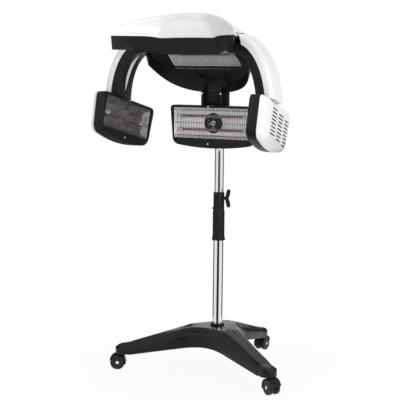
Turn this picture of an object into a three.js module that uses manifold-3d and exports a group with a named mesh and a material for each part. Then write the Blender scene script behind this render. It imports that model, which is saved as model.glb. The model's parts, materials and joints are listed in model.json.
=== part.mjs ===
// Hair colour processor: a three-legged stand on casters, a telescopic column, and a tilting head that
// carries a crown heater under a hood, a fan-assisted rear heater panel and two swinging side heater panels.
// Millimetres, +Z up, the user's side at -Y. The origin is on the floor, under the middle of the box.
import * as THREE from "three";
import { mergeVertices } from "three/addons/utils/BufferGeometryUtils.js";
import Module from "manifold-3d";

const wasm = await Module();
wasm.setup();
const radians = THREE.MathUtils.degToRad;

// Clearances
const seatGap = 0.3;
const slideGap = 0.5;
const swingGap = 1.5;

// Base
const legAngles = { rear: 90, left: 210, right: 330 };
const base = {
  hubTop: 183,
  shoulderRadius: 110,
  shoulderTop: 180,
  legSlope: 0.308,
  hubBottom: 125,
  bottomSlope: 0.173,
  legEnd: 352,
  legRootHalf: 54,
  legToeHalf: 34,
  legRoot: 165,
  waist: 66,
  draft: 7,
  wall: 4,
  socketWall: 8,
};
const toe = { half: 33, centre: 374, top: 103, bottom: 63.5 };
const caster = {
  stemAt: 376,
  trail: 22,
  wheelRadius: 29,
  wheelWidth: 15,
  webWidth: 13,
  webFoot: 11,
  axleRadius: 4,
  stemRadius: 6,
  stemTop: 92,
  stemSides: 12,
  fenderGap: 2.4,
  fenderWall: 1.8,
  sides: 14,
};

// Column
const lowerTube = { outer: 20, inner: 18.6, bottom: 118, top: 645 };
const upperTube = { outer: 18, inner: 16.4, bottom: 400, top: 1066 };
const footRing = { outer: 27, height: 7 };
const grip = { outer: 23.6, bottom: 526, flare: 26.2, flareHeight: 14 };
const clamp = { outer: 21.6, top: 718, bossRadius: 7, bossReach: 29, knobHeight: 694 };
const knob = {
  stemRadius: 3.5,
  hubRadius: 8,
  hubLength: 10,
  wingReach: 29,
  wingThickness: 7,
  wingDepth: 14,
};
const tubeSides = 16;

// Tilt joint at the top of the column
const tilt = {
  height: 1100,
  pinRadius: 5,
  earRadius: 15,
  earThickness: 8,
  lugWidth: 24,
  capRadius: 23,
  capBottom: 1030,
};

// Heater panels. Panel frame: x along the panel, z up, y into the panel from its open face.
const rearPanel = {
  width: 368,
  height: 166,
  topRadius: 14,
  bottomRadius: 34,
  bow: 12,
  taper: 9,
  depth: 40,
  lip: 4,
  ledge: 4,
  window: { width: 336, height: 119, radius: 8, rise: 14.5 },
  reflectorDepth: 18,
  reflectorSlope: 13,
  tubeSpread: 26,
  coverDepth: 9,
  coverShrink: 0.97,
  faceY: -75,
  topZ: 1058,
};
const sidePanel = {
  width: 300,
  height: 172,
  topRadius: 20,
  bottomRadius: 42,
  bow: 14,
  taper: 6,
  depth: 40,
  lip: 4,
  ledge: 4,
  window: { width: 262, height: 121, radius: 8, rise: 15 },
  reflectorDepth: 24,
  reflectorSlope: 15,
  coverDepth: 46,
  coverShrink: 0.74,
  centre: { x: 288, y: -220, z: 994 },
  toeOut: 8,
  frontUp: 15,
};
const sheet = 1.2;
const guard = { thickness: 1.6, barPitch: 26, wire: 2, rim: 5 };
const heater = { tubeRadius: 6.5, tubeWall: 1.1, sides: 12, blockRadius: 8, blockLength: 17, socket: 11 };
const coil = { radius: 3.6, wire: 0.9, curls: 8, stepsPerCurl: 8, sides: 5 };
const vents = { rows: 8, columns: 3, length: 62, height: 6, pitchX: 76, pitchZ: 13 };

// Fan in the rear panel
const fan = {
  side: 80,
  depth: 15.4,
  bore: 37,
  shaft: 3,
  hub: 13,
  blades: 5,
  bladeThickness: 1.6,
  bladePitch: 35,
  bladeWidth: 13,
  spokes: 4,
  spokeWidth: 2,
  spokeDepth: 2.4,
  rings: [26],
};

// Canopy. Its rim is level at the front and slopes down to the rear. Its front edge is hollow: two wings
// reach forward on either side of a straight middle.
const canopy = {
  rim: 1317,
  rearDown: 33,
  bendY: -260,
  bendHalf: 40,
  halfWidth: 260,
  tipY: -373,
  creaseX: 115,
  creaseY: -260,
  rearY: -27,
  planPower: 2.6,
  wingSteps: 2,
  middleSteps: 2,
  rearSteps: 18,
  apexY: -212,
  apex: 1422,
  crownPower: 1.8,
  ceilingMiddleY: -100,
  ceilingShare: 0.5,
  ceilingDrop: 0.25,
  ceilingDropY: -210,
  wall: 3,
  skirtDepth: 52,
  skirtInset: 18,
  skirtWall: 4,
  rimLedge: 9,
  rimThickness: 8,
  ceiling: 18,
  ceilingInset: 17,
  ceilingWall: 5,
};
const crown = {
  y: -146,
  width: 298,
  height: 124,
  flange: 6,
  radius: 8,
  reflectorDepth: 36,
  reflectorSlope: 22,
  tubeRise: -24,
};

// Arms. The arm's outline lies in the x-z plane and is a quarter of an ellipse from the pivot to the panel.
const arm = {
  pivot: { x: 198, z: 1290 },
  end: { x: 330, z: 1062 },
  y: -225,
  width: 90,
  half: 36,
  edge: 8,
  coverShare: 33,
  coverWall: 3,
  slotWidth: 40,
  slotFrom: 14,
  slotTo: 76,
  pinRadius: 6,
  bossRadius: 13,
  bossLength: 11,
  swingIn: 4,
  swingOut: 12,
};

// Neck between the canopy and the rear panel
const neck = { halfWidth: 62, wall: 8, rib: 7, ribAt: 40, ribDepth: 26, top: 1146 };

// Materials
function material(color, roughness, metalness = 0) {
  return new THREE.MeshStandardMaterial({ color, roughness, metalness });
}
const blackPlastic = material(0x1c1b1f, 0.5);
const whitePlastic = material(0xe9e7e8, 0.35);
const chrome = material(0xd2d4d8, 0.12, 1);
const steel = material(0xb9babd, 0.35, 1);
const mirrorSheet = material(0xe4e0ea, 0.2, 1);
const ceramic = material(0xe8dcae, 0.6);
const heatingWire = material(0xb03a2a, 0.5, 0.4);
const quartz = material(0xd9c9c6, 0.1);
const wheelPlastic = material(0x17171a, 0.45);

// Solids

// A closed three.js geometry as a solid that can be joined and cut, with its faces outward.
function solid(geometry) {
  const flat = geometry.index ? geometry.toNonIndexed() : geometry;
  const bare = new THREE.BufferGeometry();
  bare.setAttribute("position", flat.getAttribute("position"));
  const merged = mergeVertices(bare, 1e-3);
  const source = merged.index.array;
  const faces = [];
  for (let i = 0; i < source.length; i += 3) {
    const [a, b, c] = [source[i], source[i + 1], source[i + 2]];
    if (a !== b && b !== c && c !== a) faces.push(a, b, c);
  }
  const make = (triVerts) =>
    new wasm.Manifold(
      new wasm.Mesh({ numProp: 3, vertProperties: merged.attributes.position.array, triVerts }),
    );
  const made = make(new Uint32Array(faces));
  if (made.volume() >= 0) return made;
  return make(new Uint32Array(faces.reverse()));
}

// The solid's surface as a three.js geometry.
function geometryOf(body) {
  const mesh = body.getMesh();
  const positions = new Float32Array(mesh.numVert * 3);
  for (let i = 0; i < mesh.numVert; i++) {
    positions.set(mesh.vertProperties.subarray(i * mesh.numProp, i * mesh.numProp + 3), i * 3);
  }
  const geometry = new THREE.BufferGeometry();
  geometry.setAttribute("position", new THREE.BufferAttribute(positions, 3));
  geometry.setIndex(new THREE.BufferAttribute(mesh.triVerts, 1));
  geometry.computeVertexNormals();
  return geometry;
}

const joined = (first, ...others) => others.reduce((sum, other) => sum.add(other), first);
const cut = (first, ...others) => others.reduce((rest, other) => rest.subtract(other), first);

function addPiece(group, name, body, finish) {
  const mesh = new THREE.Mesh(geometryOf(body), finish);
  mesh.name = name;
  group.add(mesh);
  return mesh;
}

function block(sizeX, sizeY, sizeZ, x, y, z) {
  return solid(new THREE.BoxGeometry(sizeX, sizeY, sizeZ).translate(x, y, z));
}

// A round bar between two heights along one axis.
function bar(axis, radius, from, to, at, sides = 20) {
  const geometry = new THREE.CylinderGeometry(radius, radius, to - from, sides);
  if (axis === "x") geometry.rotateZ(-Math.PI / 2);
  if (axis === "z") geometry.rotateX(Math.PI / 2);
  const middle = { x: 0, y: 0, z: 0, ...at };
  middle[axis] = (from + to) / 2;
  return solid(geometry.translate(middle.x, middle.y, middle.z));
}

// A revolved body about z from [radius, height] pairs of a closed or axis-to-axis profile.
function turned(profile, sides = tubeSides) {
  const points = profile.map(([radius, height]) => new THREE.Vector2(radius, height));
  return solid(new THREE.LatheGeometry(points, sides).rotateX(Math.PI / 2));
}

function pipe(outer, inner, bottom, top, sides = tubeSides) {
  return turned([[inner, bottom], [outer, bottom], [outer, top], [inner, top], [inner, bottom]], sides);
}

// A shape drawn in x and z, filled from one y to another.
function slab(shape, fromY, toY, curveSegments = 3) {
  const options = { depth: toY - fromY, bevelEnabled: false, curveSegments };
  return solid(new THREE.ExtrudeGeometry(shape, options).rotateX(Math.PI / 2).translate(0, toY, 0));
}

// A closed body through rings of equal counts. Fans close its ends, or its last ring joins the first.
function loft(rings, joinEnds = false) {
  const count = rings[0].length;
  const points = rings.flat();
  const faces = [];
  const spans = joinEnds ? rings.length : rings.length - 1;
  for (let ring = 0; ring < spans; ring++) {
    const next = ((ring + 1) % rings.length) * count;
    for (let k = 0; k < count; k++) {
      const m = (k + 1) % count;
      const [a, b, c, d] = [ring * count + k, ring * count + m, next + m, next + k];
      faces.push(a, b, c, a, c, d);
    }
  }
  const closeEnd = (ring, first) => {
    const middle = rings[ring].reduce((sum, p) => sum.add(p), new THREE.Vector3()).divideScalar(count);
    const centre = points.push(middle) - 1;
    for (let k = 0; k < count; k++) {
      const [a, b] = [ring * count + k, ring * count + ((k + 1) % count)];
      faces.push(...(first ? [centre, b, a] : [centre, a, b]));
    }
  };
  if (!joinEnds) {
    closeEnd(0, true);
    closeEnd(rings.length - 1, false);
  }
  const geometry = new THREE.BufferGeometry().setFromPoints(points);
  return solid(geometry.setIndex(faces));
}

// Points along a straight line, without its end.
function steppedLine(from, to, steps) {
  return Array.from({ length: steps }, (_, i) => from.clone().lerp(to, i / steps));
}

function roundedRectangle(width, height, radius, rise = 0) {
  const [x, z] = [width / 2, height / 2];
  const shape = new THREE.Shape();
  shape.moveTo(-x + radius, rise - z);
  shape.lineTo(x - radius, rise - z);
  shape.absarc(x - radius, rise - z + radius, radius, -Math.PI / 2, 0);
  shape.lineTo(x, rise + z - radius);
  shape.absarc(x - radius, rise + z - radius, radius, 0, Math.PI / 2);
  shape.lineTo(-x + radius, rise + z);
  shape.absarc(-x + radius, rise + z - radius, radius, Math.PI / 2, Math.PI);
  shape.lineTo(-x, rise - z + radius);
  shape.absarc(-x + radius, rise - z + radius, radius, Math.PI, Math.PI * 1.5);
  return shape;
}

// Base

function legPoint(angle, along, across) {
  const [c, s] = [Math.cos(radians(angle)), Math.sin(radians(angle))];
  return new THREE.Vector2(along * c - across * s, along * s + across * c);
}

// The plan outline of the base's flat top: three tapering legs with hollow curves between them.
function baseOutline() {
  return Object.values(legAngles).flatMap((angle) => {
    const start = legPoint(angle, base.legRoot, -base.legRootHalf);
    const toeStart = legPoint(angle, base.legEnd, -base.legToeHalf);
    const toeEnd = legPoint(angle, base.legEnd, base.legToeHalf);
    const end = legPoint(angle, base.legRoot, base.legRootHalf);
    const waist = legPoint(angle + 60, base.waist, 0);
    const next = legPoint(angle + 120, base.legRoot, -base.legRootHalf);
    const hollow = new THREE.QuadraticBezierCurve(end, waist, next).getPoints(6).slice(0, -1);
    const straights = [
      ...steppedLine(start, toeStart, 3),
      ...steppedLine(toeStart, toeEnd, 2),
      ...steppedLine(toeEnd, end, 3),
    ];
    return [...straights, ...hollow];
  });
}

function topHeight(radius) {
  if (radius < base.shoulderRadius) {
    const share = radius / base.shoulderRadius;
    return base.hubTop - (base.hubTop - base.shoulderTop) * share * share;
  }
  return base.shoulderTop - base.legSlope * (radius - base.shoulderRadius);
}

const bottomHeight = (radius) => base.hubBottom - base.bottomSlope * radius;

function makeBase(group) {
  const outline = baseOutline();
  const hole = lowerTube.outer + seatGap;
  const rimHole = hole + base.socketWall / 2;
  const ring = (share, offset, height) =>
    outline.map((p) => {
      const reach = p.length();
      const radius = rimHole + (reach - rimHole) * share + offset;
      return new THREE.Vector3((p.x / reach) * radius, (p.y / reach) * radius, height(radius));
    });
  const under = (radius) => topHeight(radius) - base.wall;
  const shares = [0, 0.3, 0.65];
  const rings = [
    ...shares.map((share) => ring(share, 0, topHeight)),
    ring(1, -2, topHeight),
    ring(1, 0, (radius) => topHeight(radius) - 2.5),
    ring(1, base.draft, bottomHeight),
    ring(1, base.draft - base.wall, bottomHeight),
    ring(1, -base.wall, under),
    ...shares.slice(1).reverse().map((share) => ring(share * 0.98, 0, under)),
    ring(0, 0, under),
  ];
  const socket = pipe(hole + base.socketWall, hole, bottomHeight(0) - 12, base.hubTop - 1);
  const ends = Object.values(legAngles).map((angle) => {
    const behind = base.legEnd - 0.2;
    const geometry = new THREE.BoxGeometry(60, 200, 200).translate(behind + 30, 0, 100);
    return solid(geometry.rotateZ(radians(angle)));
  });
  addPiece(group, "base_shell", cut(joined(loft(rings, true), socket), ...ends), blackPlastic);
}

// A toe cap and its swivelling twin-wheel caster, drawn along +x and turned to their leg.
function makeFoot(group, side, angle) {
  const foot = new THREE.Group();
  foot.rotation.z = radians(angle);
  group.add(foot);

  const plan = new THREE.Shape();
  plan.moveTo(base.legEnd + seatGap, -toe.half);
  plan.lineTo(toe.centre, -toe.half);
  plan.absarc(toe.centre, 0, toe.half, -Math.PI / 2, Math.PI / 2);
  plan.lineTo(base.legEnd + seatGap, toe.half);
  const options = {
    depth: toe.top - toe.bottom - 8,
    bevelEnabled: true,
    bevelThickness: 4,
    bevelSize: 4,
    bevelOffset: -4,
    bevelSegments: 1,
    curveSegments: 6,
  };
  const cap = new THREE.ExtrudeGeometry(plan, options).translate(0, 0, toe.bottom + 4);
  const stemLine = { x: caster.stemAt };
  const holeTop = caster.stemTop + seatGap;
  const stemHole = bar("z", caster.stemRadius + seatGap, 0, holeTop, stemLine, caster.stemSides);
  addPiece(foot, "toe_cap_" + side, cut(solid(cap), stemHole), blackPlastic);

  const axleX = caster.stemAt + caster.trail;
  const axleZ = caster.wheelRadius;
  const innerRadius = caster.wheelRadius + caster.fenderGap;
  const outerRadius = innerRadius + caster.fenderWall;
  const [fenderFrom, fenderTo] = [radians(15), radians(200)];
  const fenderShape = new THREE.Shape();
  fenderShape.absarc(axleX, axleZ, outerRadius, fenderFrom, fenderTo);
  fenderShape.absarc(axleX, axleZ, innerRadius, fenderTo, fenderFrom, true);
  const webShape = new THREE.Shape();
  webShape.absarc(axleX, axleZ, outerRadius, fenderFrom, fenderTo);
  webShape.lineTo(axleX - caster.webFoot, axleZ - caster.webFoot);
  webShape.lineTo(axleX + caster.webFoot, axleZ - caster.webFoot);
  const halfSpan = caster.webWidth / 2 + 1 + caster.wheelWidth;
  const fender = slab(fenderShape, -halfSpan, halfSpan, 7);
  const web = slab(webShape, -caster.webWidth / 2, caster.webWidth / 2, 7);
  const stem = bar("z", caster.stemRadius, axleZ + 10, caster.stemTop, stemLine, caster.stemSides);
  const collarFoot = axleZ + caster.wheelRadius + 1;
  const collarRadius = caster.stemRadius + 4;
  const collar = bar("z", collarRadius, collarFoot, toe.bottom - seatGap, stemLine, caster.stemSides);
  const axleHole = bar("y", caster.axleRadius + seatGap, -20, 20, { x: axleX, z: axleZ }, 10);
  const fork = cut(joined(fender, web, stem, collar), axleHole);
  addPiece(foot, "caster_fork_" + side, fork, blackPlastic);

  const flatDown = Math.PI / caster.sides;
  const disc = (centreY) => {
    const radius = caster.wheelRadius / Math.cos(Math.PI / caster.sides);
    const geometry = new THREE.CylinderGeometry(radius, radius, caster.wheelWidth, caster.sides);
    return solid(geometry.rotateY(flatDown).translate(axleX, centreY, axleZ));
  };
  const offset = caster.webWidth / 2 + 0.6 + caster.wheelWidth / 2;
  const capReach = offset + caster.wheelWidth / 2 + 1.5;
  const axle = bar("y", caster.axleRadius, -capReach, capReach, { x: axleX, z: axleZ }, 10);
  addPiece(foot, "caster_wheel_" + side, joined(axle, disc(-offset), disc(offset)), wheelPlastic);
}

// Column

function makeColumn(group) {
  const ringFloor = base.hubTop + seatGap;
  const hole = lowerTube.outer + seatGap;
  const ringProfile = [
    [hole, ringFloor],
    [footRing.outer, ringFloor],
    [footRing.outer - 2, ringFloor + footRing.height],
    [hole, ringFloor + footRing.height],
    [hole, ringFloor],
  ];
  addPiece(group, "pole_foot_ring", turned(ringProfile), blackPlastic);
  const lowerPipe = pipe(lowerTube.outer, lowerTube.inner, lowerTube.bottom, lowerTube.top);
  addPiece(group, "lower_tube", lowerPipe, chrome);

  const gripTop = lowerTube.top - seatGap;
  const flareTop = grip.bottom + grip.flareHeight;
  const gripProfile = [
    [hole, grip.bottom],
    [grip.flare - 1.5, grip.bottom],
    [grip.flare, grip.bottom + 3],
    [grip.flare - 0.5, flareTop - 4],
    [grip.outer, flareTop],
    [grip.outer, gripTop - 4],
    [grip.outer - 2, gripTop],
    [hole, gripTop],
    [hole, grip.bottom],
  ];
  addPiece(group, "grip_sleeve", turned(gripProfile), blackPlastic);

  const bore = upperTube.outer + slideGap;
  const clampBottom = lowerTube.top + seatGap;
  const sleeveProfile = [
    [bore, clampBottom],
    [clamp.outer, clampBottom],
    [clamp.outer, clamp.top - 5],
    [clamp.outer - 2.5, clamp.top],
    [bore, clamp.top],
    [bore, clampBottom],
  ];
  const boss = bar("x", clamp.bossRadius, bore + 1, clamp.bossReach, { z: clamp.knobHeight }, 12);
  const stemHole = bar("x", knob.stemRadius + seatGap, bore - 4, 60, { z: clamp.knobHeight }, 12);
  const sleeve = cut(joined(turned(sleeveProfile), boss), stemHole);
  addPiece(group, "clamp_sleeve", sleeve, blackPlastic);

  const hubStart = clamp.bossReach + 1;
  const hubEnd = hubStart + knob.hubLength;
  const at = { z: clamp.knobHeight };
  const wing = new THREE.Shape();
  wing.moveTo(hubStart + 1, -4);
  wing.quadraticCurveTo(hubStart + 1, knob.wingReach * 0.6, hubStart + 6, knob.wingReach);
  wing.absarc(hubStart + 6 + knob.wingDepth / 2, knob.wingReach, knob.wingDepth / 2, Math.PI, 0, true);
  wing.quadraticCurveTo(hubEnd + knob.wingDepth - 4, knob.wingReach * 0.5, hubEnd, -4);
  const wingSolid = (flip) => {
    const options = { depth: knob.wingThickness, bevelEnabled: false, curveSegments: 5 };
    const geometry = new THREE.ExtrudeGeometry(wing, options).translate(0, 0, -knob.wingThickness / 2);
    geometry.rotateX(Math.PI / 2 + flip);
    return solid(geometry.translate(0, 0, clamp.knobHeight));
  };
  const knobSolid = joined(
    bar("x", knob.stemRadius, upperTube.outer + slideGap, hubStart + 2, at, 14),
    bar("x", knob.hubRadius, hubStart, hubEnd, at, 18),
    wingSolid(0),
    wingSolid(Math.PI),
  );
  addPiece(group, "clamp_knob", knobSolid, blackPlastic);

  const upperPipe = pipe(upperTube.outer, upperTube.inner, upperTube.bottom, upperTube.top);
  addPiece(group, "upper_tube", upperPipe, chrome);
  const earAt = tilt.lugWidth / 2 + seatGap;
  const capHole = upperTube.outer + seatGap;
  const capRoof = upperTube.top + seatGap;
  const capTop = tilt.height - tilt.earRadius - 6;
  const cap = turned([
    [capHole, tilt.capBottom],
    [tilt.capRadius, tilt.capBottom],
    [tilt.capRadius, capTop],
    [0, capTop],
    [0, capRoof],
    [capHole, capRoof],
    [capHole, tilt.capBottom],
  ]);
  const ears = [-1, 1].map((sign) => {
    const [from, to] = sign > 0 ? [earAt, earAt + tilt.earThickness] : [-earAt - tilt.earThickness, -earAt];
    const eye = bar("x", tilt.earRadius, from, to, { z: tilt.height }, 14);
    const foot = tilt.height - capTop + 3;
    const postZ = tilt.height - foot / 2;
    const post = block(tilt.earThickness, tilt.earRadius * 2, foot, (from + to) / 2, 0, postZ);
    return joined(eye, post);
  });
  const pinHole = bar("x", tilt.pinRadius + seatGap, -60, 60, { z: tilt.height }, 12);
  addPiece(group, "tilt_bracket", cut(joined(cap, ...ears), pinHole), blackPlastic);
  const pinReach = earAt + tilt.earThickness + 1.5;
  addPiece(group, "tilt_pin", bar("x", tilt.pinRadius, -pinReach, pinReach, { z: tilt.height }, 20), steel);
}

// Heater pieces, drawn in the panel frame

function panelOutline(panel) {
  const [x, z] = [panel.width / 2, panel.height / 2];
  const low = x - panel.taper;
  const shape = new THREE.Shape();
  shape.moveTo(-x + panel.topRadius, z);
  shape.lineTo(x - panel.topRadius, z);
  shape.quadraticCurveTo(x, z, x, z - panel.topRadius);
  shape.lineTo(low, -z + panel.bow + panel.bottomRadius);
  shape.quadraticCurveTo(low, -z + panel.bow, low - panel.bottomRadius, -z + panel.bow * 0.8);
  shape.quadraticCurveTo(0, -z - panel.bow * 0.8, -low + panel.bottomRadius, -z + panel.bow * 0.8);
  shape.quadraticCurveTo(-low, -z + panel.bow, -low, -z + panel.bow + panel.bottomRadius);
  shape.lineTo(-x, z - panel.topRadius);
  shape.quadraticCurveTo(-x, z, -x + panel.topRadius, z);
  return shape;
}

function pocketShape(panel, clearance) {
  const { width, height, radius, rise } = panel.window;
  const grow = 2 * (panel.ledge - clearance);
  return roundedRectangle(width + grow, height + grow, radius, rise);
}

function housing(panel) {
  const { width, height, radius, rise } = panel.window;
  const body = slab(panelOutline(panel), 0, panel.depth);
  const window = slab(roundedRectangle(width, height, radius, rise), -1, panel.lip + 1);
  const pocket = slab(pocketShape(panel, 0), panel.lip, panel.depth + 1);
  return cut(body, window, pocket);
}

// A pressed tray with sloping walls and a flange, open towards -y.
function reflector(width, height, radius, rise, depth, slope, startY) {
  const flange = slab(roundedRectangle(width, height, radius, rise), startY, startY + sheet, 3);
  const section = (inset, y) => {
    const shape = roundedRectangle(width - 2 * inset, height - 2 * inset, radius, rise);
    return shape.getPoints(2).slice(0, -1).map((p) => new THREE.Vector3(p.x, y, p.y));
  };
  const rim = 3.5;
  const floor = startY + depth;
  const outside = loft([section(rim, startY), section(rim + slope, floor)]);
  const insideFloor = floor - sheet;
  const inside = loft([section(rim + sheet, startY - 1), section(rim + sheet + slope, insideFloor)]);
  return cut(joined(flange, outside), inside);
}

// A flat wire guard: a rim with upright wires.
function wireGuard(width, height, radius, rise, startY) {
  const endY = startY + guard.thickness;
  const middleY = (startY + endY) / 2;
  const [openWidth, openHeight] = [width - 2 * guard.rim, height - 2 * guard.rim];
  const opening = slab(roundedRectangle(openWidth, openHeight, guard.rim, rise), startY - 1, endY + 1, 2);
  const rim = cut(slab(roundedRectangle(width, height, radius, rise), startY, endY, 3), opening);
  const count = Math.round(openWidth / guard.barPitch);
  const wires = [];
  for (let wire = 1; wire < count; wire++) {
    const x = -openWidth / 2 + (wire / count) * openWidth;
    wires.push(block(guard.wire, guard.thickness, openHeight + 2, x, middleY, rise));
  }
  return joined(rim, ...wires);
}

function quartzTube(length, y, z) {
  const inner = heater.tubeRadius - heater.tubeWall;
  const body = pipe(heater.tubeRadius, inner, -length / 2, length / 2, heater.sides);
  const geometry = geometryOf(body).rotateY(Math.PI / 2).translate(0, y, z);
  return solid(geometry);
}

// A heating coil: one wire wound along x, with a straight lead at each end.
function heatingCoil(length, y, z, label) {
  const turns = coil.curls;
  const steps = turns * coil.stepsPerCurl;
  const lead = 2 * coil.wire;
  const centres = [];
  for (let i = 0; i <= steps; i++) {
    const angle = (i / coil.stepsPerCurl) * 2 * Math.PI;
    const x = -length / 2 + lead + (i / steps) * (length - 2 * lead);
    centres.push(new THREE.Vector3(x, y + coil.radius * Math.cos(angle), z + coil.radius * Math.sin(angle)));
  }
  centres.unshift(centres[0].clone().setX(-length / 2));
  centres.push(centres[centres.length - 1].clone().setX(length / 2));
  const alongX = new THREE.Vector3(1, 0, 0);
  const rings = centres.map((centre, i) => {
    const before = centres[Math.max(i - 1, 0)];
    const after = centres[Math.min(i + 1, centres.length - 1)];
    const atEnd = i === 0 || i === centres.length - 1;
    const tangent = atEnd ? alongX : after.clone().sub(before).normalize();
    const outward = new THREE.Vector3(0, centre.y - y, centre.z - z).normalize();
    const sideways = new THREE.Vector3().crossVectors(tangent, outward).normalize();
    const upright = new THREE.Vector3().crossVectors(sideways, tangent);
    return Array.from({ length: coil.sides }, (_, k) => {
      const turn = (k / coil.sides) * 2 * Math.PI;
      return centre
        .clone()
        .addScaledVector(upright, coil.wire * Math.cos(turn))
        .addScaledVector(sideways, coil.wire * Math.sin(turn));
    });
  });
  let least = Infinity;
  for (let i = 0; i < centres.length; i++) {
    for (let j = i + coil.stepsPerCurl / 2; j < centres.length; j++) {
      least = Math.min(least, centres[i].distanceTo(centres[j]) - 2 * coil.wire);
    }
  }
  console.log(label + ": least gap of the coil to itself " + least.toFixed(2) + " mm");
  return loft(rings);
}

// A ceramic end that holds one end of a quartz tube, with a foot on the reflector's floor.
function endBlock(side, tubeLength, y, z, floorY) {
  const tubeEnd = tubeLength / 2;
  const inner = tubeEnd - heater.socket;
  const outer = inner + heater.blockLength;
  const [from, to] = side < 0 ? [-outer, -inner] : [inner, outer];
  const round = bar("x", heater.blockRadius, from, to, { y, z }, heater.sides);
  const depth = floorY - y;
  const foot = block(heater.blockLength, depth, heater.blockRadius * 1.3, (from + to) / 2, y + depth / 2, z);
  const seat = tubeEnd + seatGap;
  const [seatFrom, seatTo] = side < 0 ? [-seat, -inner + 1] : [inner - 1, seat];
  const socket = bar("x", heater.tubeRadius + seatGap, seatFrom, seatTo, { y, z }, heater.sides);
  return cut(joined(round, foot), socket);
}

// A bulged cover behind a panel's housing, with rows of vent slots.
function backCover(panel, columns, rows, pitchX, pitchZ, length) {
  const outline = panelOutline(panel).getPoints(3).slice(0, -1);
  const start = panel.depth + seatGap;
  const section = (scale, y) => outline.map((p) => new THREE.Vector3(p.x * scale, y, p.y * scale));
  const bulge = (inset, depth, from) => {
    const edge = 1 - inset / (panel.height / 2);
    const stages = [0, 0.35, 0.7, 1];
    const rings = stages.map((stage) => {
      const turn = (stage * Math.PI) / 2;
      const scale = edge * (1 - (1 - panel.coverShrink) * (1 - Math.cos(turn)));
      return section(scale, from + (stage === 0 ? 0 : start - from + depth * Math.sin(turn)));
    });
    return loft(rings);
  };
  const shell = cut(bulge(0, panel.coverDepth, start), bulge(3, panel.coverDepth - 3, start - 1));
  const slots = [];
  for (let row = 0; row < rows; row++) {
    for (let column = 0; column < columns; column++) {
      const x = (column - (columns - 1) / 2) * pitchX;
      const z = (row - (rows - 1) / 2) * pitchZ;
      slots.push(block(length, panel.coverDepth * 3, vents.height, x, start + panel.coverDepth, z));
    }
  }
  return cut(shell, ...slots);
}

// Rear panel

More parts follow.
